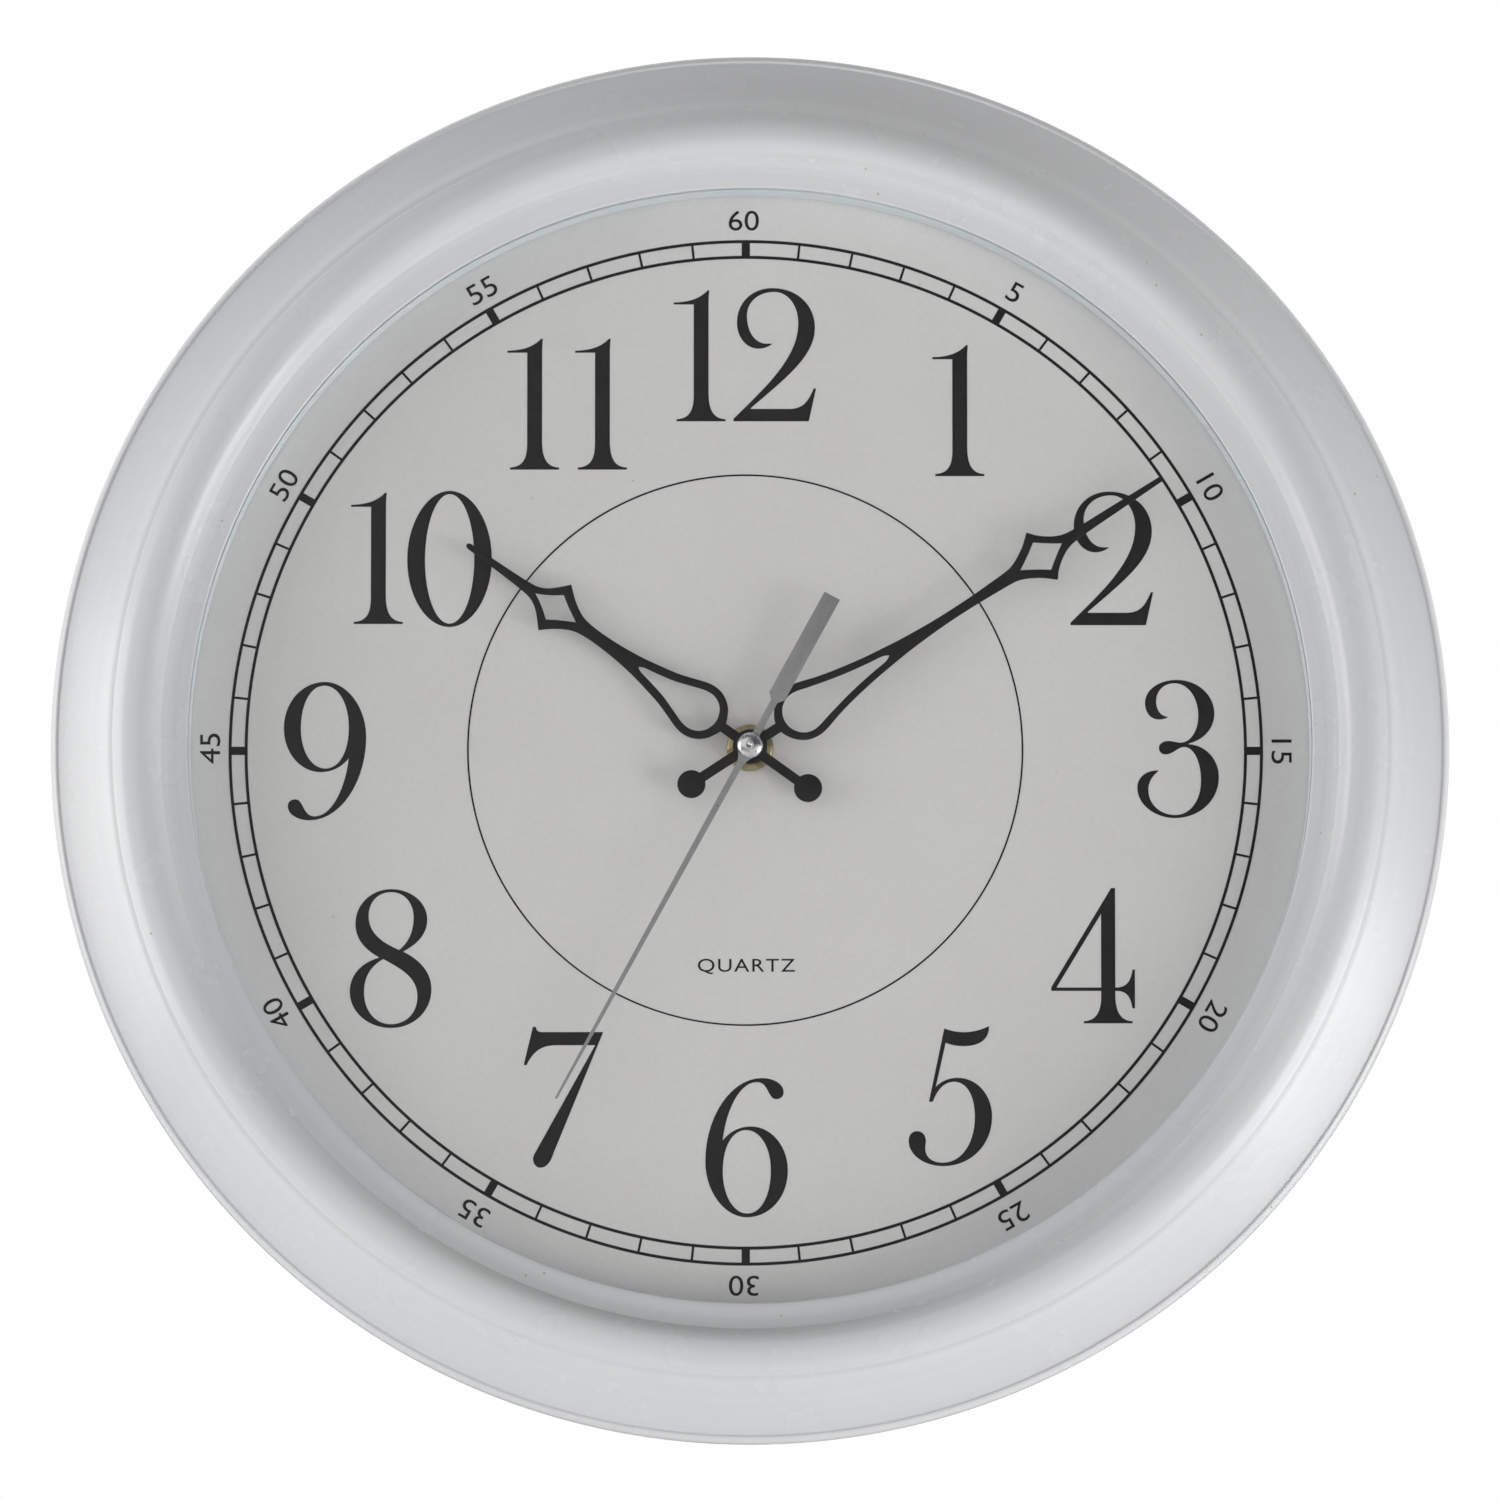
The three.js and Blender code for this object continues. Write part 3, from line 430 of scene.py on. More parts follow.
def sheet_solid(name, loops, y_front, y_rear, mat, body, replaces=(), bevel=0.0, angle=0.0, at=(0.0, 0.0), smooth=40.0):
    """Flat part cut to outlines in mm (x right, z up from the clock axis), with softened edges; holes by even-odd fill."""
    cu = bpy.data.curves.new(name + "_curve", "CURVE")
    cu.dimensions = "2D"
    cu.fill_mode = "BOTH"
    for loop in loops:
        pts = [loop[0]]
        for q in loop[1:]:
            if math.hypot(q[0] - pts[-1][0], q[1] - pts[-1][1]) > 1e-4:
                pts.append(q)
        if math.hypot(pts[0][0] - pts[-1][0], pts[0][1] - pts[-1][1]) < 1e-4:
            pts.pop()
        s = cu.splines.new("POLY")
        s.points.add(len(pts) - 1)
        for i, (x, z) in enumerate(pts):
            s.points[i].co = (x, z, 0, 1)
        s.use_cyclic_u = True
    t = y_rear - y_front
    cu.extrude = max(t / 2 - bevel, 0.001)
    cu.bevel_depth = bevel
    cu.bevel_resolution = 1
    cu.offset = -bevel
    tmp = bpy.data.objects.new(name + "_tmp", cu)
    bpy.context.scene.collection.objects.link(tmp)
    bpy.context.view_layer.update()
    dg = bpy.context.evaluated_depsgraph_get()
    me = bpy.data.meshes.new_from_object(tmp.evaluated_get(dg))
    bpy.data.objects.remove(tmp)
    bpy.data.curves.remove(cu)
    c, s_ = math.cos(math.radians(angle)), math.sin(math.radians(angle))
    ymid = (y_front + y_rear) / 2
    co = np.zeros(len(me.vertices) * 3)
    me.vertices.foreach_get("co", co)
    co = co.reshape(-1, 3)
    x, z, d = co[:, 0], co[:, 1], co[:, 2]
    new = np.stack([CX + (at[0] + x * c + z * s_) * MM, (ymid - d) * MM, CZ + (at[1] - x * s_ + z * c) * MM], 1)
    me.vertices.foreach_set("co", new.ravel())
    me.name = name
    me.materials.clear()
    me.materials.append(mat)
    ob = bpy.data.objects.new(name, me)
    bpy.context.scene.collection.objects.link(ob)
    import bmesh
    bm = bmesh.new()
    bm.from_mesh(me)
    bmesh.ops.remove_doubles(bm, verts=bm.verts, dist=1e-7)
    bmesh.ops.dissolve_degenerate(bm, edges=bm.edges, dist=1e-7)
    bmesh.ops.recalc_face_normals(bm, faces=bm.faces)
    bm.to_mesh(me)
    bm.free()
    me.polygons.foreach_set("use_smooth", np.ones(len(me.polygons), bool))
    me.set_sharp_from_angle(angle=math.radians(smooth))
    me.update()
    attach(ob, body)
    if replaces:
        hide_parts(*replaces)
    return ob


def circle_pts(r, n=64, at=(0.0, 0.0), a0=0.0, a1=360.0, full=True):
    k = n if full else n + 1
    return [(at[0] + r * math.cos(math.radians(a0 + (a1 - a0) * i / n)), at[1] + r * math.sin(math.radians(a0 + (a1 - a0) * i / n))) for i in range(k)]


def round_rect(x0, x1, z0, z1, r, n=8):
    out = []
    for cx, cz, a in ((x1 - r, z1 - r, 0), (x0 + r, z1 - r, 90), (x0 + r, z0 + r, 180), (x1 - r, z0 + r, 270)):
        out += circle_pts(r, n, (cx, cz), a, a + 90, False)
    return out


# ------------------------------------------------------------------ case ring
BOSS_R = 183.5


def boss_at(k):
    a = math.radians(30 + 60 * k)
    return BOSS_R * math.sin(a), BOSS_R * math.cos(a)


OUTER = runs(
    [(198.9, -0.05), (199.3, -0.4), (199.9, -4.0), (201.3, -12.0), (202.5, -18.5), (203.0, -23.5), (202.95, -26.0), (202.6, -27.4), (202.0, -28.3), (201.3, -28.65), (200.75, -28.35)],
    [(200.75, -28.35), (198.0, -29.75), (194.7, -31.75), (191.5, -34.0), (188.5, -36.4), (186.4, -38.4), (186.0, -38.75)],
    [(186.0, -38.75), (185.3, -39.15), (184.6, -39.5)],
    [(184.6, -39.5), (184.1, -39.95), (183.2, -40.6), (181.5, -41.6), (179.5, -42.25), (177.2, -42.48), (175.0, -42.1), (173.2, -41.0), (171.8, -39.3), (170.65, -36.95)],
    [(170.65, -36.95), (168.9, -36.05), (167.4, -35.45)],
    [(167.4, -35.45), (165.2, -34.95), (163.7, -34.62), (163.2, -34.4), (163.02, -34.1), (163.02, -33.85)],
    n=4,
)
INNER = [(163.1, -33.8), (167.65, -33.8), (167.7, -33.7), (167.7, -9.2), (167.9, -9.0), (170.2, -9.0), (170.4, -9.2), (170.4, -34.2),
         (172.2, -36.9), (174.0, -39.0), (177.2, -39.7), (180.4, -39.3), (184.0, -36.2), (187.6, -33.0), (193.0, -29.8), (198.4, -26.4), (198.5, -12.0), (197.7, -0.3), (197.9, -0.05)]
bosses = []
for k in range(6):
    v, f, fm = lathe([(1.85, -34.9), (4.5, -35.0), (4.6, -34.7), (4.6, -5.5), (4.45, -5.3), (1.95, -5.3), (1.85, -5.45)], 32, boss_at(k))
    bosses.append((v, f, fm))
turned("case_ring", OUTER + INNER, SEG, [M["case_white"]], "root", ["case_frame"], "case_white", extra=bosses, smooth=24.0)

# ------------------------------------------------------------------ lens, spacer, dial
turned("lens_pane", [(0, -33.5), (166.9, -33.5), (167.2, -33.2), (167.2, -31.8), (166.9, -31.5), (0, -31.5)], SEG, [M["lens_glass"]], "root", ["lens"], "lens_glass", closed=False)
turned("spacer_wall", [(162.8, -31.2), (166.95, -31.2), (167.2, -30.95), (167.2, -21.75), (166.95, -21.5), (162.8, -21.5), (162.5, -21.8), (162.5, -30.9)], SEG, [M["inner_white"]], "root", ["spacer_ring"], "inner_white")
turned("dial_board_round", [(4.35, -21.2), (167.0, -21.2), (167.2, -21.0), (167.2, -19.9), (167.0, -19.7), (4.35, -19.7), (4.2, -19.85), (4.2, -21.05)], SEG, [M["dial_board"]], "root", ["dial"], "dial_board")

INK_FRONT, INK_REAR = -21.26, -21.2


def art(x, y):
    return (x - ART_C[0]) * PRINT, -(y - ART_C[1]) * PRINT


def flatten(path, dx=0.0, dy=0.0, turn=None, n=14):
    t = re.findall(r"[MLCZ]|-?[\d.]+", path)
    i, pts, cur, cmd = 0, [], None, None
    while i < len(t):
        if t[i] in "MLCZ":
            cmd = t[i]
            i += 1
        if cmd == "Z":
            break
        if cmd in "ML":
            cur = (float(t[i]), float(t[i + 1]))
            i += 2
            pts.append(cur)
        else:
            p = [cur] + [(float(t[i + 2 * k]), float(t[i + 2 * k + 1])) for k in range(3)]
            i += 6
            for j in range(1, n + 1):
                s = j / n
                w = ((1 - s) ** 3, 3 * s * (1 - s) ** 2, 3 * s * s * (1 - s), s ** 3)
                pts.append((sum(a * q[0] for a, q in zip(w, p)), sum(a * q[1] for a, q in zip(w, p))))
            cur = p[3]
    if turn:
        pts = [(2 * turn[0] - x, 2 * turn[1] - y) for x, y in pts]
    return [art(x + dx, y + dy) for x, y in pts]


GLYPHS = {
    "1": ["M 672.6,301.2 L 672.6,299.2 C 687,298.8 698,296 706.6,287.0 L 708.4,286.9 C 707.9,291 707.6,296 707.6,302 L 707.6,392 C 707.9,409 713,417.2 724.7,417.7 L 724.7,419.8 L 675.5,419.8 L 675.5,417.7 C 688,417.0 692.6,409.5 692.7,394 L 692.7,301.2 Z"],
    "2": ["M 771.9,341.0 C 767.5,344.4 762.5,346.1 757.8,346.1 C 745.5,346.1 736.1,334.8 736.1,319.5 C 736.1,299.5 751,284.6 771.5,284.6 C 796.5,284.6 814.4,301.5 814.4,325 C 814.4,353 787,374.5 749.8,406.6 L 750.4,407.3 L 788,407.3 C 803,407.3 807.5,399.5 813.2,386.5 L 815.5,386.5 L 808.2,419.8 L 732.6,419.8 L 732.6,417.3 C 763,387 797.7,356 797.7,320.5 C 797.7,303 788,288.4 773.5,288.4 C 757.5,288.4 746.1,299 746.1,312.5 C 746.1,331 756,341.6 766.5,341.0 Z"],
    "3": ["M 1167.4,719.3 C 1164.8,721.0 1161.6,721.6 1158.4,721.6 C 1150.0,721.6 1144.6,714.4 1144.6,705.1 C 1144.6,691.5 1158.5,681.6 1176.4,681.6 C 1197.5,681.6 1214.0,696.8 1214.0,715.4 C 1214.0,730.5 1203.5,742.0 1189.0,745.6 L 1188.0,746.6 C 1205.0,747.2 1218.3,761.5 1218.3,779.7 C 1218.3,803.5 1198.5,821.1 1174.3,821.1 C 1153.5,821.1 1136.6,807.0 1136.6,790.6 C 1136.6,780.0 1145.0,773.0 1157.5,773.0 L 1157.5,774.0 C 1152.0,778.4 1147.7,784.5 1147.7,792.6 C 1147.7,807.0 1159.5,818.0 1174.3,818.0 C 1190.0,818.0 1200.4,803.0 1200.4,783.0 C 1200.4,764.5 1193.5,749.4 1183.6,749.4 C 1177.5,749.4 1172.5,756.9 1165.0,756.9 C 1161.0,756.9 1158.4,754.0 1158.4,750.6 C 1158.4,746.4 1162.4,743.3 1167.9,743.3 C 1172.0,743.3 1176.0,745.0 1180.5,745.0 C 1190.5,744.5 1197.9,732.5 1197.9,717.5 C 1197.9,700.0 1188.0,685.0 1174.3,685.0 C 1163.0,685.0 1155.7,693.0 1155.7,704.0 C 1155.7,711.5 1160.5,718.6 1167.4,718.9 Z"],
    "4": ["M 1110.1,891.6 L 1114.1,891.6 L 1114.1,991.7 L 1116,991.7 C 1126,991.2 1130,984 1131.2,973.6 L 1133.7,973.6 L 1133.7,1012.7 L 1131.2,1012.7 C 1129.5,1001.5 1125.5,995.3 1116,995.1 L 1114.1,995.1 L 1114.1,1002 C 1114.6,1016 1119.5,1025.2 1131.3,1025.6 L 1131.3,1027.7 L 1082.5,1027.7 L 1082.5,1025.6 C 1094.5,1025.2 1099.8,1016 1100,1002 L 1100,995.1 L 1050.1,995.1 L 1050.1,991.5 Z",
          "M 1055.4,991.7 L 1100,991.7 L 1100,917.6 Z"],
    "5": ["M 943.2,1032.8 C 957,1038.2 972.5,1038.2 987.9,1030.4 C 988.2,1043 979.5,1050.6 963,1050.6 C 957,1050.6 950,1049.8 944.6,1047.2 L 934.6,1091.6 C 939.5,1086.2 947.5,1082.4 956.4,1082.4 C 976,1082.4 990.8,1099.5 990.8,1121.5 C 990.8,1150 969,1171.1 942.1,1171.1 C 922.5,1171.1 907.5,1159.5 907.5,1146 C 907.5,1140 910.8,1136 915.8,1136 C 921.5,1136 924.7,1140.5 924.7,1146 C 924.7,1148.5 924,1150.5 924,1153 C 924,1162 930.5,1167.6 941.5,1167.6 C 961,1167.6 973.6,1147 973.6,1121.5 C 973.6,1100.5 965.5,1086.4 953,1086.4 C 943,1086.4 936,1094.5 931.6,1106.5 L 927.8,1106.5 Z"],
    "6": ["M 761,1082.7 C 772,1082.7 782.8,1088 782.8,1096.9 C 782.8,1101.2 779.8,1103.9 775.3,1103.9 C 766.6,1103.9 768.2,1086.7 756,1086.7 C 738.5,1086.7 725,1116 722,1145.3 C 728,1137.5 737.5,1131.3 750.3,1131.3 C 770.5,1131.3 787,1151 787,1175.5 C 787,1202 769,1222.4 746,1222.4 C 724,1222.4 704.6,1197 704.6,1166.5 C 704.6,1121 730.5,1082.7 761,1082.7 Z",
          "M 745.3,1134.9 C 759.5,1134.9 770,1152.5 770,1175 C 770,1200.5 760.5,1218.6 746.5,1218.6 C 732.5,1218.6 722,1200 722,1176.5 C 722,1151.5 731.5,1134.9 745.3,1134.9 Z"],
    "7": ["M 532.4,1031.2 L 535.4,1031.2 C 535.8,1034.8 537.5,1036.5 542,1036.5 L 602.6,1036.5 L 553,1158.5 C 550.5,1167.5 545.5,1172.7 540.2,1172.7 C 535.8,1172.7 532.8,1168.5 532.8,1164 C 532.8,1161.5 534,1159 535.5,1156.5 L 594.6,1049.7 L 556,1049.7 C 541,1049.7 532.5,1056 526.2,1069.7 L 523.3,1069.7 Z"],
    "8": ["M 390.6,892.7 C 411,892.7 426.7,906.5 426.7,923.5 C 426.7,937.5 417.5,947.5 402.7,955.6 C 419.5,963.8 431,976.5 431,993.5 C 431,1015.5 413.5,1032.4 390.6,1032.4 C 367.5,1032.4 349.4,1016 349.4,996 C 349.4,979 361,966.5 378.9,961.6 C 364.5,953.5 354.9,943.5 354.9,927.5 C 354.9,907.5 371,892.7 390.6,892.7 Z",
          "M 390.6,895.7 C 403.5,895.7 413,906.5 413,921 C 413,935.5 408,946.5 398.6,953.9 C 381.5,946.5 368.1,937 368.1,919.5 C 368.1,905.5 377.5,895.7 390.6,895.7 Z",
          "M 382.7,963.1 C 403,974 417,982.5 417,1001 C 417,1017.5 405.5,1028.6 390.6,1028.6 C 374.5,1028.6 363.7,1014.5 363.7,996.5 C 363.7,981 370,970.5 382.7,963.1 Z"],
    "0": ["M 448.2,490.3 C 470.2,490.3 490.5,521 490.5,559 C 490.5,597 470.8,628.2 448.1,628.2 C 425.2,628.2 405.7,598 405.7,560 C 405.7,521.5 426.2,490.3 448.2,490.3 Z",
          "M 448.2,493.6 C 462.2,493.6 472.9,523.2 472.9,559.5 C 472.9,596 462,624.8 448.1,624.8 C 434.5,624.8 423.5,596.5 423.5,560.5 C 423.5,523.5 434.5,493.6 448.2,493.6 Z"],
}
SIX_C = ((704.6 + 787) / 2, (1082.7 + 1222.4) / 2)
PLACES = [  # hour, glyph, dx, dy, turned half a circle
    (12, "1", 0, 0, 0), (12, "2", 0, 0, 0), (1, "1", 259.5, 55.6, 0), (2, "2", 337.6, 206.5, 0), (3, "3", 0, 0, 0),
    (4, "4", 0, 0, 0), (5, "5", 0, 0, 0), (6, "6", 0, 0, 0), (7, "7", 0, 0, 0), (8, "8", 0, 0, 0),
    (9, "6", (283.2 + 364.6) / 2 - SIX_C[0], (683.7 + 823.3) / 2 - SIX_C[1], 1),
    (10, "1", -323.3, 205.3, 0), (10, "0", 0, 0, 0), (11, "1", -167, 49, 0), (11, "1", -99, 49, 0),
]
for hour in range(1, 13):
    loops = []
    for h, g, dx, dy, turn in PLACES:
        if h == hour:
            for path in GLYPHS[g]:
                loops.append(flatten(path, dx, dy, SIX_C if turn else None))
    sheet_solid(f"numeral_{hour}", loops, INK_FRONT, INK_REAR, M["ink"], "root")


# minute track: two printed circles, sixty ticks between them, and the thin inner circle
def ring_loops(r0, r1, at, n=SEG):
    return [circle_pts(r1, n, at), circle_pts(r0, n, at)]


TRACK = art(745.0, 753.3)
R_TRACK_IN, R_TRACK_OUT, TRACK_W = 500 * PRINT, 516 * PRINT, 0.9
track_loops = []
a = R_TRACK_IN - TRACK_W / 2
track_loops.append(circle_pts(R_TRACK_OUT + TRACK_W / 2, 360, TRACK))
for k in range(60):     # each window between two ticks is a hole in the printed band
    w0 = (2.4 if k % 5 == 0 else 0.7) / 2
    w1 = (2.4 if (k + 1) % 5 == 0 else 0.7) / 2
    ri, ro = R_TRACK_IN + TRACK_W / 2, R_TRACK_OUT - TRACK_W / 2
    t0, t1 = math.radians(6 * k), math.radians(6 * (k + 1))
    pts = []
    for j in range(7):
        s0, s1 = t0 + w0 / ro, t1 - w1 / ro
        t = s0 + (s1 - s0) * j / 6
        pts.append((TRACK[0] + ro * math.sin(t), TRACK[1] + ro * math.cos(t)))
    for j in range(7):
        s0, s1 = t1 - w1 / ri, t0 + w0 / ri
        t = s0 + (s1 - s0) * j / 6
        pts.append((TRACK[0] + ri * math.sin(t), TRACK[1] + ri * math.cos(t)))
    track_loops.append(pts)
track_loops.append(circle_pts(a, 360, TRACK))
sheet_solid("minute_track", track_loops, INK_FRONT, INK_REAR, M["ink_track"], "root")
IN_C = art(744.4, 752.0)
sheet_solid("inner_circle", ring_loops(277.5 * PRINT - 0.25, 277.5 * PRINT + 0.25, IN_C, 360), INK_FRONT, INK_REAR, M["ink_track"], "root")


def print_text(name, body, height, at, angle, mat, xscale=1.13, thin=0.0, width=None, spacing=1.0):
    """Plain sans figures printed on the dial, centred on at, tops turned to the clock angle."""
    cu = bpy.data.curves.new(name + "_font", "FONT")
    cu.body = body
    cu.size = 1.0
    cu.resolution_u = 6
    cu.extrude = 0.02
    cu.offset = thin
    cu.space_character = spacing
    tmp = bpy.data.objects.new(name + "_tmp", cu)
    bpy.context.scene.collection.objects.link(tmp)
    bpy.context.view_layer.update()
    me = bpy.data.meshes.new_from_object(tmp.evaluated_get(bpy.context.evaluated_depsgraph_get()))
    bpy.data.objects.remove(tmp)
    bpy.data.curves.remove(cu)
    co = np.zeros(len(me.vertices) * 3)
    me.vertices.foreach_get("co", co)
    co = co.reshape(-1, 3)
    lo, hi = co.min(0), co.max(0)
    k = height / (hi[1] - lo[1])
    kx = k * xscale if width is None else width / (hi[0] - lo[0])
    x = (co[:, 0] - (lo[0] + hi[0]) / 2) * kx
    z = (co[:, 1] - (lo[1] + hi[1]) / 2) * k
    front = co[:, 2] > 0
    c, s = math.cos(math.radians(angle)), math.sin(math.radians(angle))
    y = np.where(front, INK_FRONT, INK_REAR)
    new = np.stack([CX + (at[0] + x * c + z * s) * MM, y * MM, CZ + (at[1] - x * s + z * c) * MM], 1)
    me.vertices.foreach_set("co", new.ravel())
    me.name = name
    me.materials.clear()
    me.materials.append(mat)
    ob = bpy.data.objects.new(name, me)
    bpy.context.scene.collection.objects.link(ob)
    import bmesh
    bm = bmesh.new()
    bm.from_mesh(me)
    bmesh.ops.remove_doubles(bm, verts=bm.verts, dist=1e-7)
    bmesh.ops.recalc_face_normals(bm, faces=bm.faces)
    bm.to_mesh(me)
    bm.free()
    me.update()
    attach(ob, "root")
    return ob


MINUTE_AT = {60: (743, 216), 5: (1015, 289), 10: (1211, 487), 15: (1281, 754), 20: (1211, 1021), 25: (1012, 1221),
             30: (743, 1291), 35: (474, 1218), 40: (277, 1018), 45: (209, 751), 50: (282, 484), 55: (480, 287)}
for value, (px, py) in MINUTE_AT.items():
    print_text(f"minute_number_{value}", str(value), 20.3 * PRINT, art(px, py), 6 * (value % 60), M["ink_track"])
print_text("dial_word_quartz", "QUARTZ", 15.6 * PRINT, art(745.6, 970.6), 0, M["ink_track"], width=97 * PRINT, spacing=1.12)


# ------------------------------------------------------------------ hands
def mirrored(half):
    return [(w * PRINT, u * PRINT) for u, w in half] + [(-w * PRINT, u * PRINT) for u, w in reversed(half) if w > 1e-6]


def tail(uc, r, neck, n=24):
    a0 = math.asin(neck / r)
    return [(uc + r * math.cos(a), r * math.sin(a)) for a in (math.pi + (a0 - math.pi) * i / n for i in range(n + 1))]


def hub(r, neck, n=20):
    a0 = math.asin(neck / r)
    return [(-r * math.cos(a0 + (math.pi - 2 * a0) * i / n), r * math.sin(a0 + (math.pi - 2 * a0) * i / n)) for i in range(n + 1)]


HOUR_ANGLE, MINUTE_ANGLE, SECOND_ANGLE = 305.75, 56.75, 208.6
hour_outline = tail(-71.5, 14.1, 4.9) + hub(17.3, 4.9) + runs(
    [(33, 4.9), (33.9, 7.4), (35.2, 10), (39.5, 17.5), (46, 23.6), (54, 27.6), (63, 28.9), (72, 27.6), (84, 23.5), (100, 18.2), (120, 13.7), (140, 10), (160, 7.6), (180, 6.4), (200, 6.7), (211, 8.6), (220, 12.6), (230, 19.2), (240.7, 28.3)],
    [(240.7, 28.3), (250, 18.2), (258, 11.2), (266, 7.2), (276, 5.6), (310, 4.0), (345.5, 3.0)],
    [(345.5, 3.0), (347.6, 2.5), (349.1, 1.4), (349.6, 0.0)])
hour_loop = runs([(137.6, 0.0), (134, 2.2), (120, 5.1), (100, 9.6), (82, 15.8), (69, 20.1), (61, 20.8), (53, 18.4), (47, 13.4), (43.7, 7), (42.4, 0), (43.7, -7), (47, -13.4), (53, -18.4), (61, -20.8), (69, -20.1), (82, -15.8), (100, -9.6), (120, -5.1), (134, -2.2), (137.6, 0.0)])
hour_diamond = [(214.8, 0), (222, 3.9), (231, 8.9), (240.8, 15.2), (248, 9.6), (257, 3.9), (264.8, 0)]
minute_outline = tail(-70, 14.1, 5.1) + hub(17, 5.1) + runs(
    [(33.8, 5.1), (34.5, 7.5), (35.6, 10), (39.5, 16.4), (46, 22.8), (54, 27.2), (64, 29.0), (73, 28.0), (92.4, 22.4), (109.7, 18.3), (126.9, 15.1), (144, 12.3), (161.4, 10.1), (180, 8.0), (200, 6.4), (225, 5.1), (260, 4.8), (290, 5.8), (314, 7.3), (322, 9.7), (330, 13.8), (338, 18.8), (349.6, 28.6)],
    [(349.6, 28.6), (356, 21.0), (364, 14.4), (372, 9.6), (380, 6.7), (392, 5.3), (440, 3.95), (470, 3.2), (491.6, 2.7)],
    [(491.6, 2.7), (493.0, 2.2), (493.8, 1.2), (494, 0.0)])
minute_loop = runs([(166.8, 0.0), (161.4, 2.7), (144, 5.1), (126.9, 7.7), (109.7, 10.9), (92.4, 14.9), (79, 18.2), (70, 20.6), (62, 21.3), (54.5, 19.2), (48, 14), (44, 7), (42.8, 0), (44, -7), (48, -14), (54.5, -19.2), (62, -21.3), (70, -20.6), (79, -18.2), (92.4, -14.9), (109.7, -10.9), (126.9, -7.7), (144, -5.1), (161.4, -2.7), (166.8, 0.0)])
minute_diamond = [(323.6, 0), (331.5, 4.6), (340, 9.8), (349.6, 16.4), (357, 10.9), (365, 5.2), (373.2, 0)]
second_outline = [(-404.4, 0.0), (-404.0, 0.9), (-403.2, 1.2), (-300, 2.0), (-150, 2.8), (-20, 3.4)] + runs([(-20, 3.4), (-13.5, 6.0), (-8.5, 8.6), (0, 10), (8.5, 8.6), (12.0, 5.2), (14.0, 3.6)])[1:] + [(50.7, 3.6), (56.7, 8.8), (172, 8.8)]


def loop_mm(pts):
    return [(w * PRINT, u * PRINT) for u, w in pts]


def bore(r):
    return circle_pts(r, 48)


sheet_solid("hour_hand_plate", [mirrored(hour_outline), loop_mm(hour_loop), mirrored(hour_diamond), bore(3.72)], -26.0, -25.6, M["hand_black"], "hour_works", ["hour_hand"], bevel=0.07, angle=HOUR_ANGLE)
sheet_solid("minute_hand_plate", [mirrored(minute_outline), loop_mm(minute_loop), mirrored(minute_diamond), bore(2.78)], -27.4, -27.0, M["hand_black"], "minute_works", ["minute_hand"], bevel=0.07, angle=MINUTE_ANGLE)
sheet_solid("second_hand_plate", [mirrored(second_outline), bore(0.85)], -28.7, -28.4, M["hand_grey"], "second_works", ["second_hand"], bevel=0.05, angle=SECOND_ANGLE + 180)
turned("second_hand_cap_dome", [(0, -30.18), (0.28, -30.2), (0.42, -30.36), (0.62, -30.47), (1.1, -30.5), (1.7, -30.46), (2.3, -30.33), (2.85, -30.1), (3.3, -29.78), (3.6, -29.45), (3.75, -29.16), (3.7, -29.04), (3.55, -29.0), (0, -29.0)],
       96, [M["cap"]], "second_works", ["second_hand_cap"], "cap_silver", closed=False, smooth=50)

# ------------------------------------------------------------------ centre fixing: threaded bushing and slotted nut
thread = [(2.72, -24.6), (3.45, -24.6)]
y = -24.45
while y < -19.0:
    thread += [(3.7, y), (3.42, y + 0.22)]
    y += 0.44
thread += [(3.6, -18.8), (2.72, -18.8)]
turned("threaded_bushing_turned", thread, 64, [M["brass"]], "root", ["threaded_bushing"], "brass", smooth=20)
KN = 144
nut = turned("slotted_ring_nut", [(4.1, -22.2), (6.7, -22.2), (6.9, -22.4), (6.9, -23.35), (6.62, -23.72), (6.3, -24.02), (6.15, -24.1), (4.3, -24.1), (4.1, -23.9)],
             KN, [M["nut"]], "root", ["brass_nut"], "brass", smooth=35,
             radius_of=lambda r, yy, k: r - (0.16 if r > 6.55 and k % 2 else 0.0))


def boolean_cut(ob, cutters):
    for cutter in cutters:
        md = ob.modifiers.new("cut", "BOOLEAN")
        md.operation = "DIFFERENCE"
        md.object = cutter
        md.solver = "EXACT"
    bpy.context.view_layer.update()
    me = bpy.data.meshes.new_from_object(ob.evaluated_get(bpy.context.evaluated_depsgraph_get()))
    ob.modifiers.clear()
    old = ob.data
    ob.data = me
    bpy.data.meshes.remove(old)
    for cutter in cutters:
        bpy.data.objects.remove(cutter)


def box_cutter(centre, size, angle=0.0):
    """Box in mm about the clock axis, turned in the X-Z plane by angle (anticlockwise from +X)."""
    c, s = math.cos(math.radians(angle)), math.sin(math.radians(angle))
    vs = []
    for dx in (-0.5, 0.5):
        for dy in (-0.5, 0.5):
            for dz in (-0.5, 0.5):
                x, yy, z = dx * size[0], centre[1] + dy * size[1], dz * size[2]
                vs.append((CX + (centre[0] + x * c - z * s) * MM, yy * MM, CZ + (centre[2] + x * s + z * c) * MM))
    me = bpy.data.meshes.new("cutter")
    me.from_pydata(vs, [], [(0, 1, 3, 2), (4, 6, 7, 5), (0, 4, 5, 1), (2, 3, 7, 6), (0, 2, 6, 4), (1, 5, 7, 3)])
    me.update()
    ob = bpy.data.objects.new("cutter", me)
    bpy.context.scene.collection.objects.link(ob)
    return ob


boolean_cut(nut, [box_cutter((6.3 * math.cos(math.radians(a)), -24.1, 6.3 * math.sin(math.radians(a))), (3.2, 1.5, 2.0), a) for a in (14, 119, 194, 299)])


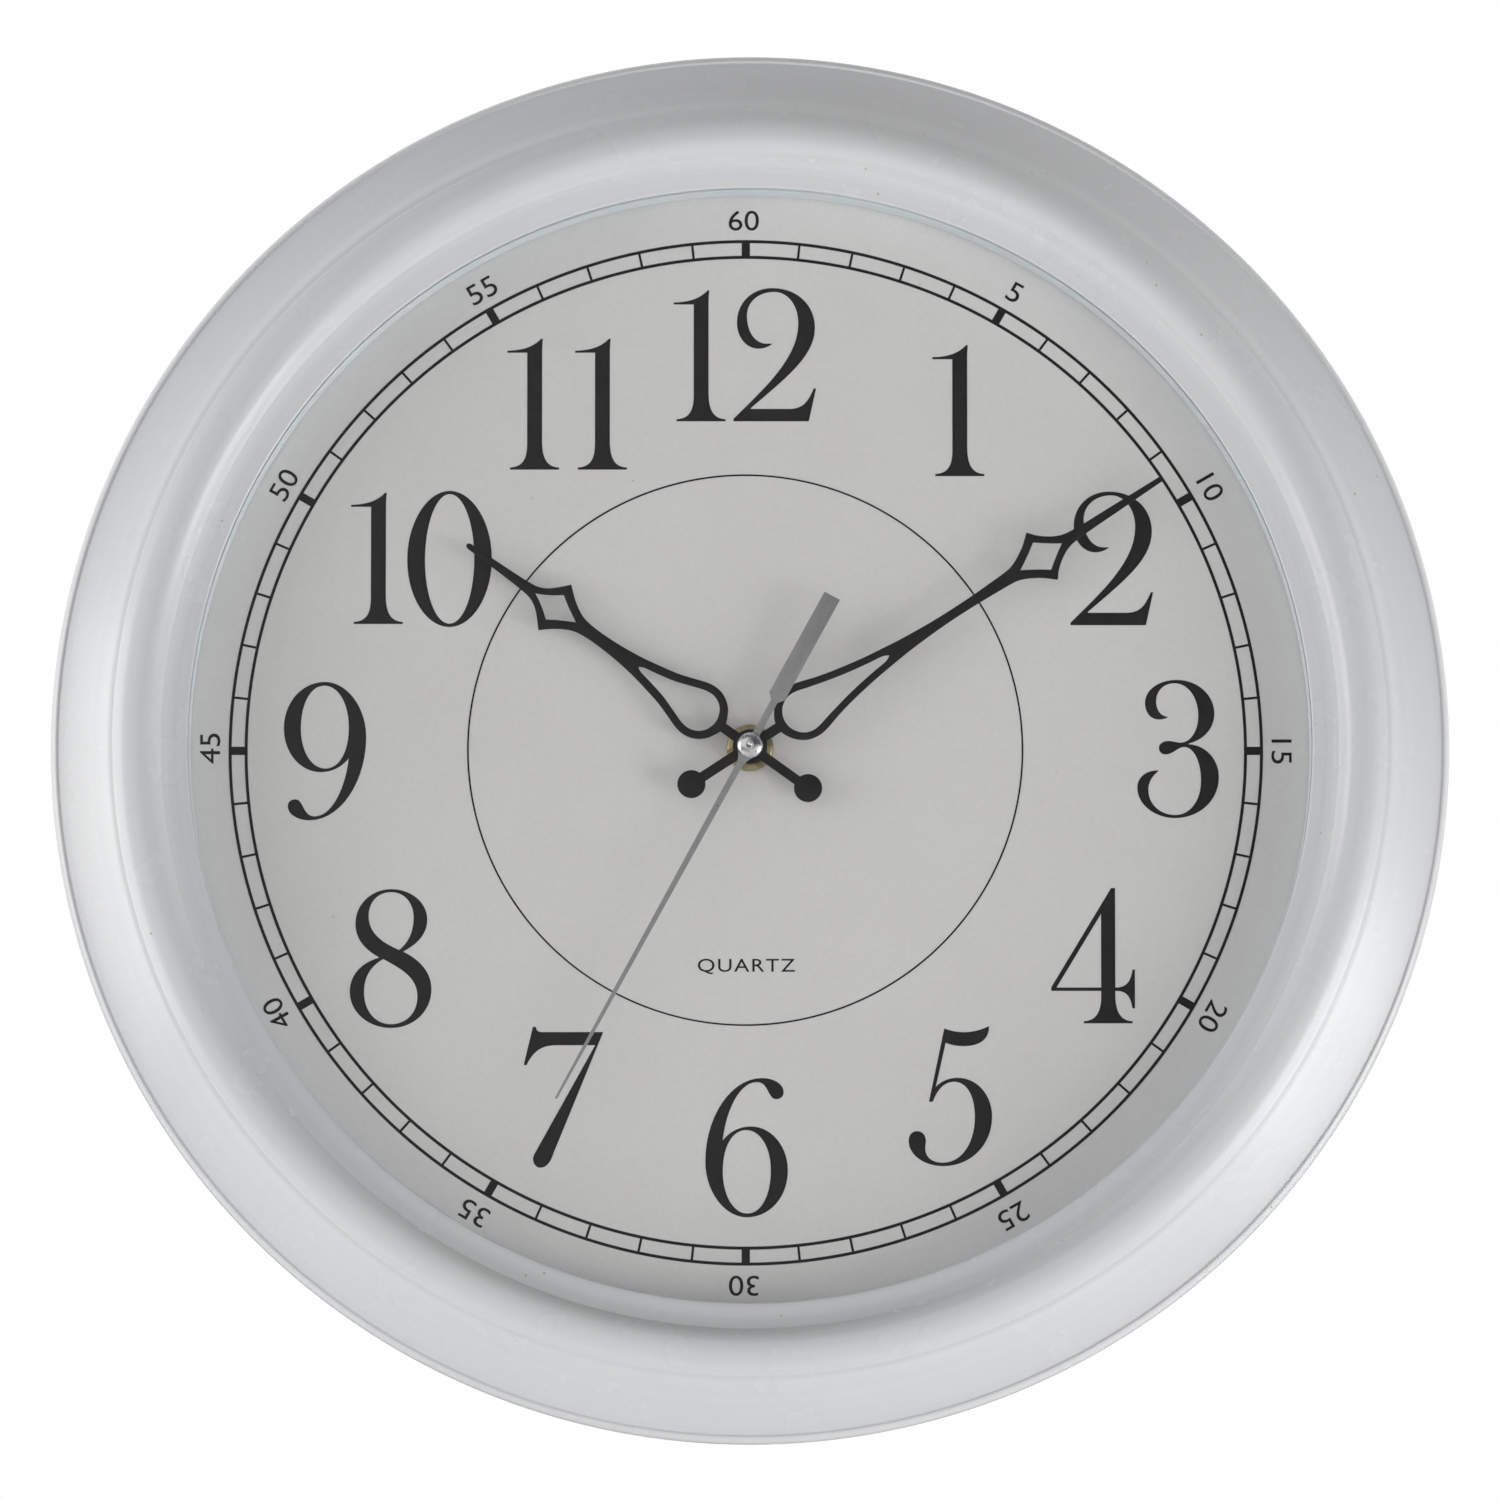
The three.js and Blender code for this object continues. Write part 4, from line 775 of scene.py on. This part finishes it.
# ------------------------------------------------------------------ screws
def screw(name, cad, at, head_front, head_t, r_head, r_shank, length, recess):
    y0 = head_front
    prof = [(0, y0 - length), (r_shank * 0.35, y0 - length + 0.05), (r_shank * 0.8, y0 - length + r_shank * 1.1)]
    yy = y0 - length + r_shank * 1.1
    while yy < y0 - 0.7:
        prof += [(r_shank, yy + 0.16), (r_shank * 0.76, yy + 0.44)]
        yy += 0.62
    prof += [(r_shank * 0.8, y0), (r_head * 0.97, y0), (r_head, y0 + head_t * 0.12), (r_head * 0.985, y0 + head_t * 0.42), (r_head * 0.9, y0 + head_t * 0.72),
             (r_head * 0.72, y0 + head_t * 0.92), (r_head * 0.45, y0 + head_t), (0, y0 + head_t)]
    ob = turned(name, prof, 40, [M["steel"]], "root", [cad], "steel", at=at, closed=False, smooth=40)
    top = y0 + head_t
    w, l = r_head * 0.30, r_head * 1.12
    boolean_cut(ob, [box_cutter((at[0], top, at[1]), (l, recess * 2, w), 20), box_cutter((at[0], top, at[1]), (w, recess * 2, l), 20)])
    return ob


for k in range(6):
    lo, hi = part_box(f"back_screw_{k + 1}")
    at = (((lo.x + hi.x) / 2 - CX) / MM, ((lo.z + hi.z) / 2 - CZ) / MM)
    screw(f"cover_screw_{k + 1}", f"back_screw_{k + 1}", at, -2.7, 1.7, 3.2, 1.45, 11.9, 1.0)
for k in range(2):
    lo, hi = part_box(f"hanger_screw_{k + 1}")
    at = (((lo.x + hi.x) / 2 - CX) / MM, ((lo.z + hi.z) / 2 - CZ) / MM)
    screw(f"hanger_fixing_screw_{k + 1}", f"hanger_screw_{k + 1}", at, -1.2, 1.0, 2.3, 1.0, 6.4, 0.6)

# ------------------------------------------------------------------ keyhole hanger plate
HANG = 150.0
zk0, zk1, rs, re_ = HANG - 8.5, HANG, 2.2, 4.2
a0 = math.degrees(math.asin(rs / re_))
key = circle_pts(rs, 24, (0, zk1), 0, 180, False) + circle_pts(re_, 40, (0, zk0), 90 + a0, 450 - a0, False)
sheet_solid("keyhole_plate", [round_rect(-18, 18, HANG - 16, HANG + 9, 3.2), key, circle_pts(1.35, 24, (-14, HANG - 3)), circle_pts(1.35, 24, (14, HANG - 3))],
            -2.7, -1.5, M["steel"], "root", ["hanger_plate"], bevel=0.18)

# ------------------------------------------------------------------ setting knob: its own mesh in black plastic, with a turned rim added
lo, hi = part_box("setting_knob")
KX, KZ = ((lo.x + hi.x) / 2 - CX) / MM, ((lo.z + hi.z) / 2 - CZ) / MM
NODES["setting_knob"].data.materials.clear()
NODES["setting_knob"].data.materials.append(M["black_plastic"])
turned("setting_knob_rim", [(2.8, -0.8), (3.0, -0.66), (3.6, -0.66), (3.85, -0.8)], 72, [M["black_plastic"]], "setting_knob_body", (), "black_plastic", at=(KX, KZ), smooth=50)

# ------------------------------------------------------------------ battery cell with jacket, band and terminals
def along_x(name, profile, seg, y, z, mats, body, replaces, mat_of=None):
    """Turns (radius, x) mm about the line y, z parallel to X."""
    verts, faces, fm = [], [], []
    rings = []
    for r, x in profile:
        if r < 1e-6:
            verts.append((CX + x * MM, y * MM, CZ + z * MM))
            rings.append([len(verts) - 1] * seg)
        else:
            rings.append(list(range(len(verts), len(verts) + seg)))
            for k in range(seg):
                a = 2 * math.pi * k / seg
                verts.append((CX + x * MM, (y + r * math.cos(a)) * MM, CZ + (z + r * math.sin(a)) * MM))
    for i in range(len(rings) - 1):
        for k in range(seg):
            l = (k + 1) % seg
            g = []
            for v in (rings[i][k], rings[i][l], rings[i + 1][l], rings[i + 1][k]):
                if v not in g:
                    g.append(v)
            if len(g) >= 3:
                faces.append(g)
                fm.append(mat_of(i) if mat_of else 0)
    ob = make_object(name, verts, faces, mats, body, replaces, None, fm)
    fix_normals(ob)
    ob.data.polygons.foreach_set("use_smooth", np.ones(len(ob.data.polygons), bool))
    ob.data.set_sharp_from_angle(angle=math.radians(35))
    return ob


cell = [(0, -24.6), (5.6, -24.6), (6.2, -24.45), (6.3, -24.2), (6.75, -24.1), (7.08, -23.8), (7.15, -23.4), (7.15, 8.0), (7.15, 8.05), (7.15, 22.9), (7.05, 23.35), (6.6, 23.6), (6.2, 23.6), (6.1, 23.9), (3.1, 24.0), (2.75, 24.15), (2.65, 25.35), (2.4, 25.6), (0, 25.6)]
along_x("cell_jacketed", cell, 96, -10.1, -27.0, [M["steel"], M["jacket_dark"], M["jacket_band"]], "battery", ["battery_cell"],
        mat_of=lambda i: 0 if i < 4 or i >= 12 else (1 if i < 8 else 2))

# ------------------------------------------------------------------ small moulded marks on the back
def bead(name, r, y0, h, w, body="root", mat="back_white", at=(0.0, 0.0), seg=192):
    """Low rounded ring standing on a rear-facing surface at y0, h high and w wide."""
    prof = [(r - w / 2, y0)] + [(r + w / 2 * math.cos(t), y0 + h * math.sin(t)) for t in (math.pi * (1 - i / 8) for i in range(1, 8))] + [(r + w / 2, y0)]
    return turned(name, prof, seg, [M[mat]], body, (), mat, at=at, smooth=60)


bead("back_bead_outer", 191.5, -3.0, 0.7, 1.6)
bead("back_bead_middle", 172.0, -3.0, 0.6, 1.4)
bead("back_bead_inner", 96.0, -3.0, 0.6, 1.4)


def arc_arrow(name, at, r, w, a0, a1, y_rear, y_front):
    """Curved arrow round the setting knob."""
    n = 24
    pts = [(at[0] + (r + w / 2) * math.cos(math.radians(a0 + (a1 - a0) * i / n)), at[1] + (r + w / 2) * math.sin(math.radians(a0 + (a1 - a0) * i / n))) for i in range(n + 1)]
    s = 1 if a1 > a0 else -1
    tip = math.radians(a1 + s * 14)
    pts.append((at[0] + (r + w * 1.4) * math.cos(math.radians(a1)), at[1] + (r + w * 1.4) * math.sin(math.radians(a1))))
    pts.append((at[0] + r * math.cos(tip), at[1] + r * math.sin(tip)))
    pts.append((at[0] + (r - w * 1.4) * math.cos(math.radians(a1)), at[1] + (r - w * 1.4) * math.sin(math.radians(a1))))
    pts += [(at[0] + (r - w / 2) * math.cos(math.radians(a1 + (a0 - a1) * i / n)), at[1] + (r - w / 2) * math.sin(math.radians(a1 + (a0 - a1) * i / n))) for i in range(n + 1)]
    return sheet_solid(name, [pts], y_front, y_rear, M["black_plastic"], "root")


rc_lo, rc_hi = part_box("movement_rear_cover")
REAR = rc_hi.y / MM
arc_arrow("setting_arrow_left", (KX, KZ), 5.55, 0.55, 100, 170, REAR + 0.3, REAR)
arc_arrow("setting_arrow_right", (KX, KZ), 5.55, 0.55, 80, 10, REAR + 0.3, REAR)
sheet_solid("cover_panel_edge", [round_rect(-26.5, 26.5, -16.2, 6.2, 2.0), round_rect(-25.9, 25.9, -15.6, 5.6, 1.6)], REAR, REAR + 0.3, M["black_plastic"], "root")
for i, sx in enumerate((-1, 1)):
    sheet_solid(f"cover_latch_{i + 1}", [round_rect(sx * 20 - 4.2, sx * 20 + 4.2, 14.0, 18.6, 0.9)], REAR, REAR + 0.5, M["black_plastic"], "root", bevel=0.12)

# ------------------------------------------------------------------ floor, light and camera
HERO_D, HERO_EL, FRAME_W = 5.0, 7.5, 0.4355
AIM = Vector((CX, -0.0245, CZ - 0.00075))

floor_mesh = bpy.data.meshes.new("floor")
n = 96
floor_mesh.from_pydata([(3.6 * math.cos(2 * math.pi * k / n), 3.6 * math.sin(2 * math.pi * k / n), -1.25) for k in range(n)], [], [list(range(n))])
fm, nt, p, _ = new_material("pale_floor")
nt.links.new(ramp(nt, noise(nt, 1.5, 3.0), [(0.3, grey(0.86)), (0.7, grey(0.90))]), p.inputs["Base Color"])
p.inputs["Roughness"].default_value = 0.7
floor_mesh.materials.append(fm)
floor = bpy.data.objects.new("floor", floor_mesh)
bpy.context.scene.collection.objects.link(floor)

world = bpy.data.worlds.new("studio")
bpy.context.scene.world = world
world.use_nodes = True
wt = world.node_tree
for nd in list(wt.nodes):
    wt.nodes.remove(nd)
wo = wt.nodes.new("ShaderNodeOutputWorld")
b_cam = node(wt, "ShaderNodeBackground", {"Color": (1, 1, 1, 1), "Strength": 1.0})
b_all = node(wt, "ShaderNodeBackground", {"Strength": 1.0})
tc = wt.nodes.new("ShaderNodeTexCoord")
sep = wt.nodes.new("ShaderNodeSeparateXYZ")
wt.links.new(tc.outputs["Generated"], sep.inputs[0])


def zero_to_one(axis):
    mr = node(wt, "ShaderNodeMapRange", {"From Min": -1.0, "From Max": 1.0})
    wt.links.new(sep.outputs[axis], mr.inputs["Value"])
    return mr.outputs["Result"]


wx, wy, wz = zero_to_one("X"), zero_to_one("Y"), zero_to_one("Z")
left_room = ramp(wt, wz, [(0.46, grey(0.22)), (0.54, grey(0.72)), (0.76, grey(0.66)), (0.84, grey(0.12))])
right_room = ramp(wt, wz, [(0.44, grey(0.92)), (0.56, grey(0.03)), (0.76, grey(0.03)), (0.84, grey(0.12))])
wall_glow = ramp(wt, wz, [(0.46, grey(0.0)), (0.54, grey(0.78))])
room = mix_color(wt, ramp(wt, wx, [(0.46, grey(0.0)), (0.54, grey(1.0))]), left_room, right_room)
room = mix_color(wt, ramp(wt, wy, [(0.48, grey(0.0)), (0.52, grey(1.0))]), room, wall_glow)
wt.links.new(room, b_all.inputs["Color"])
lp = wt.nodes.new("ShaderNodeLightPath")
mx = wt.nodes.new("ShaderNodeMixShader")
wt.links.new(lp.outputs["Is Camera Ray"], mx.inputs["Fac"])
wt.links.new(b_all.outputs[0], mx.inputs[1])
wt.links.new(b_cam.outputs[0], mx.inputs[2])
wt.links.new(mx.outputs[0], wo.inputs["Surface"])


def area(name, loc, size, power, aim=AIM, colour=(1, 1, 1), spread=180):
    li = bpy.data.lights.new(name, "AREA")
    li.shape = "RECTANGLE"
    li.size, li.size_y = size
    li.energy = power
    li.color = colour
    li.spread = math.radians(spread)
    ob = bpy.data.objects.new(name, li)
    ob.location = loc
    ob.rotation_euler = (Vector(loc) - Vector(aim)).to_track_quat("Z", "Y").to_euler()
    ob.visible_camera = False
    bpy.context.scene.collection.objects.link(ob)
    return ob


def around(angle, elevation, distance=2.4):
    """Point at a clock angle round the dial, elevation degrees in front of the dial plane."""
    a, e = math.radians(angle), math.radians(elevation)
    p = AIM + distance * Vector((math.sin(a) * math.cos(e), -math.sin(e), math.cos(a) * math.cos(e)))
    p.z = max(p.z, -1.15)
    return p


area("soft_left", around(270, 12), (1.6, 1.6), 23.0)
area("soft_low_right", around(135, 12), (1.6, 1.6), 32.0)

el = math.radians(HERO_EL)
cam_data = bpy.data.cameras.new("camera")
cam_data.sensor_width = 36.0
cam_data.lens = 36.0 * HERO_D / FRAME_W
cam_data.clip_end = 100.0
cam = bpy.data.objects.new("camera", cam_data)
cam.location = AIM + Vector((0, -math.cos(el), -math.sin(el))) * HERO_D
cam.rotation_euler = (math.radians(90) + el, 0, 0)
bpy.context.scene.collection.objects.link(cam)
bpy.context.scene.camera = cam
bpy.context.scene.view_settings.view_transform = "Standard"
bpy.context.scene.view_settings.look = "None"
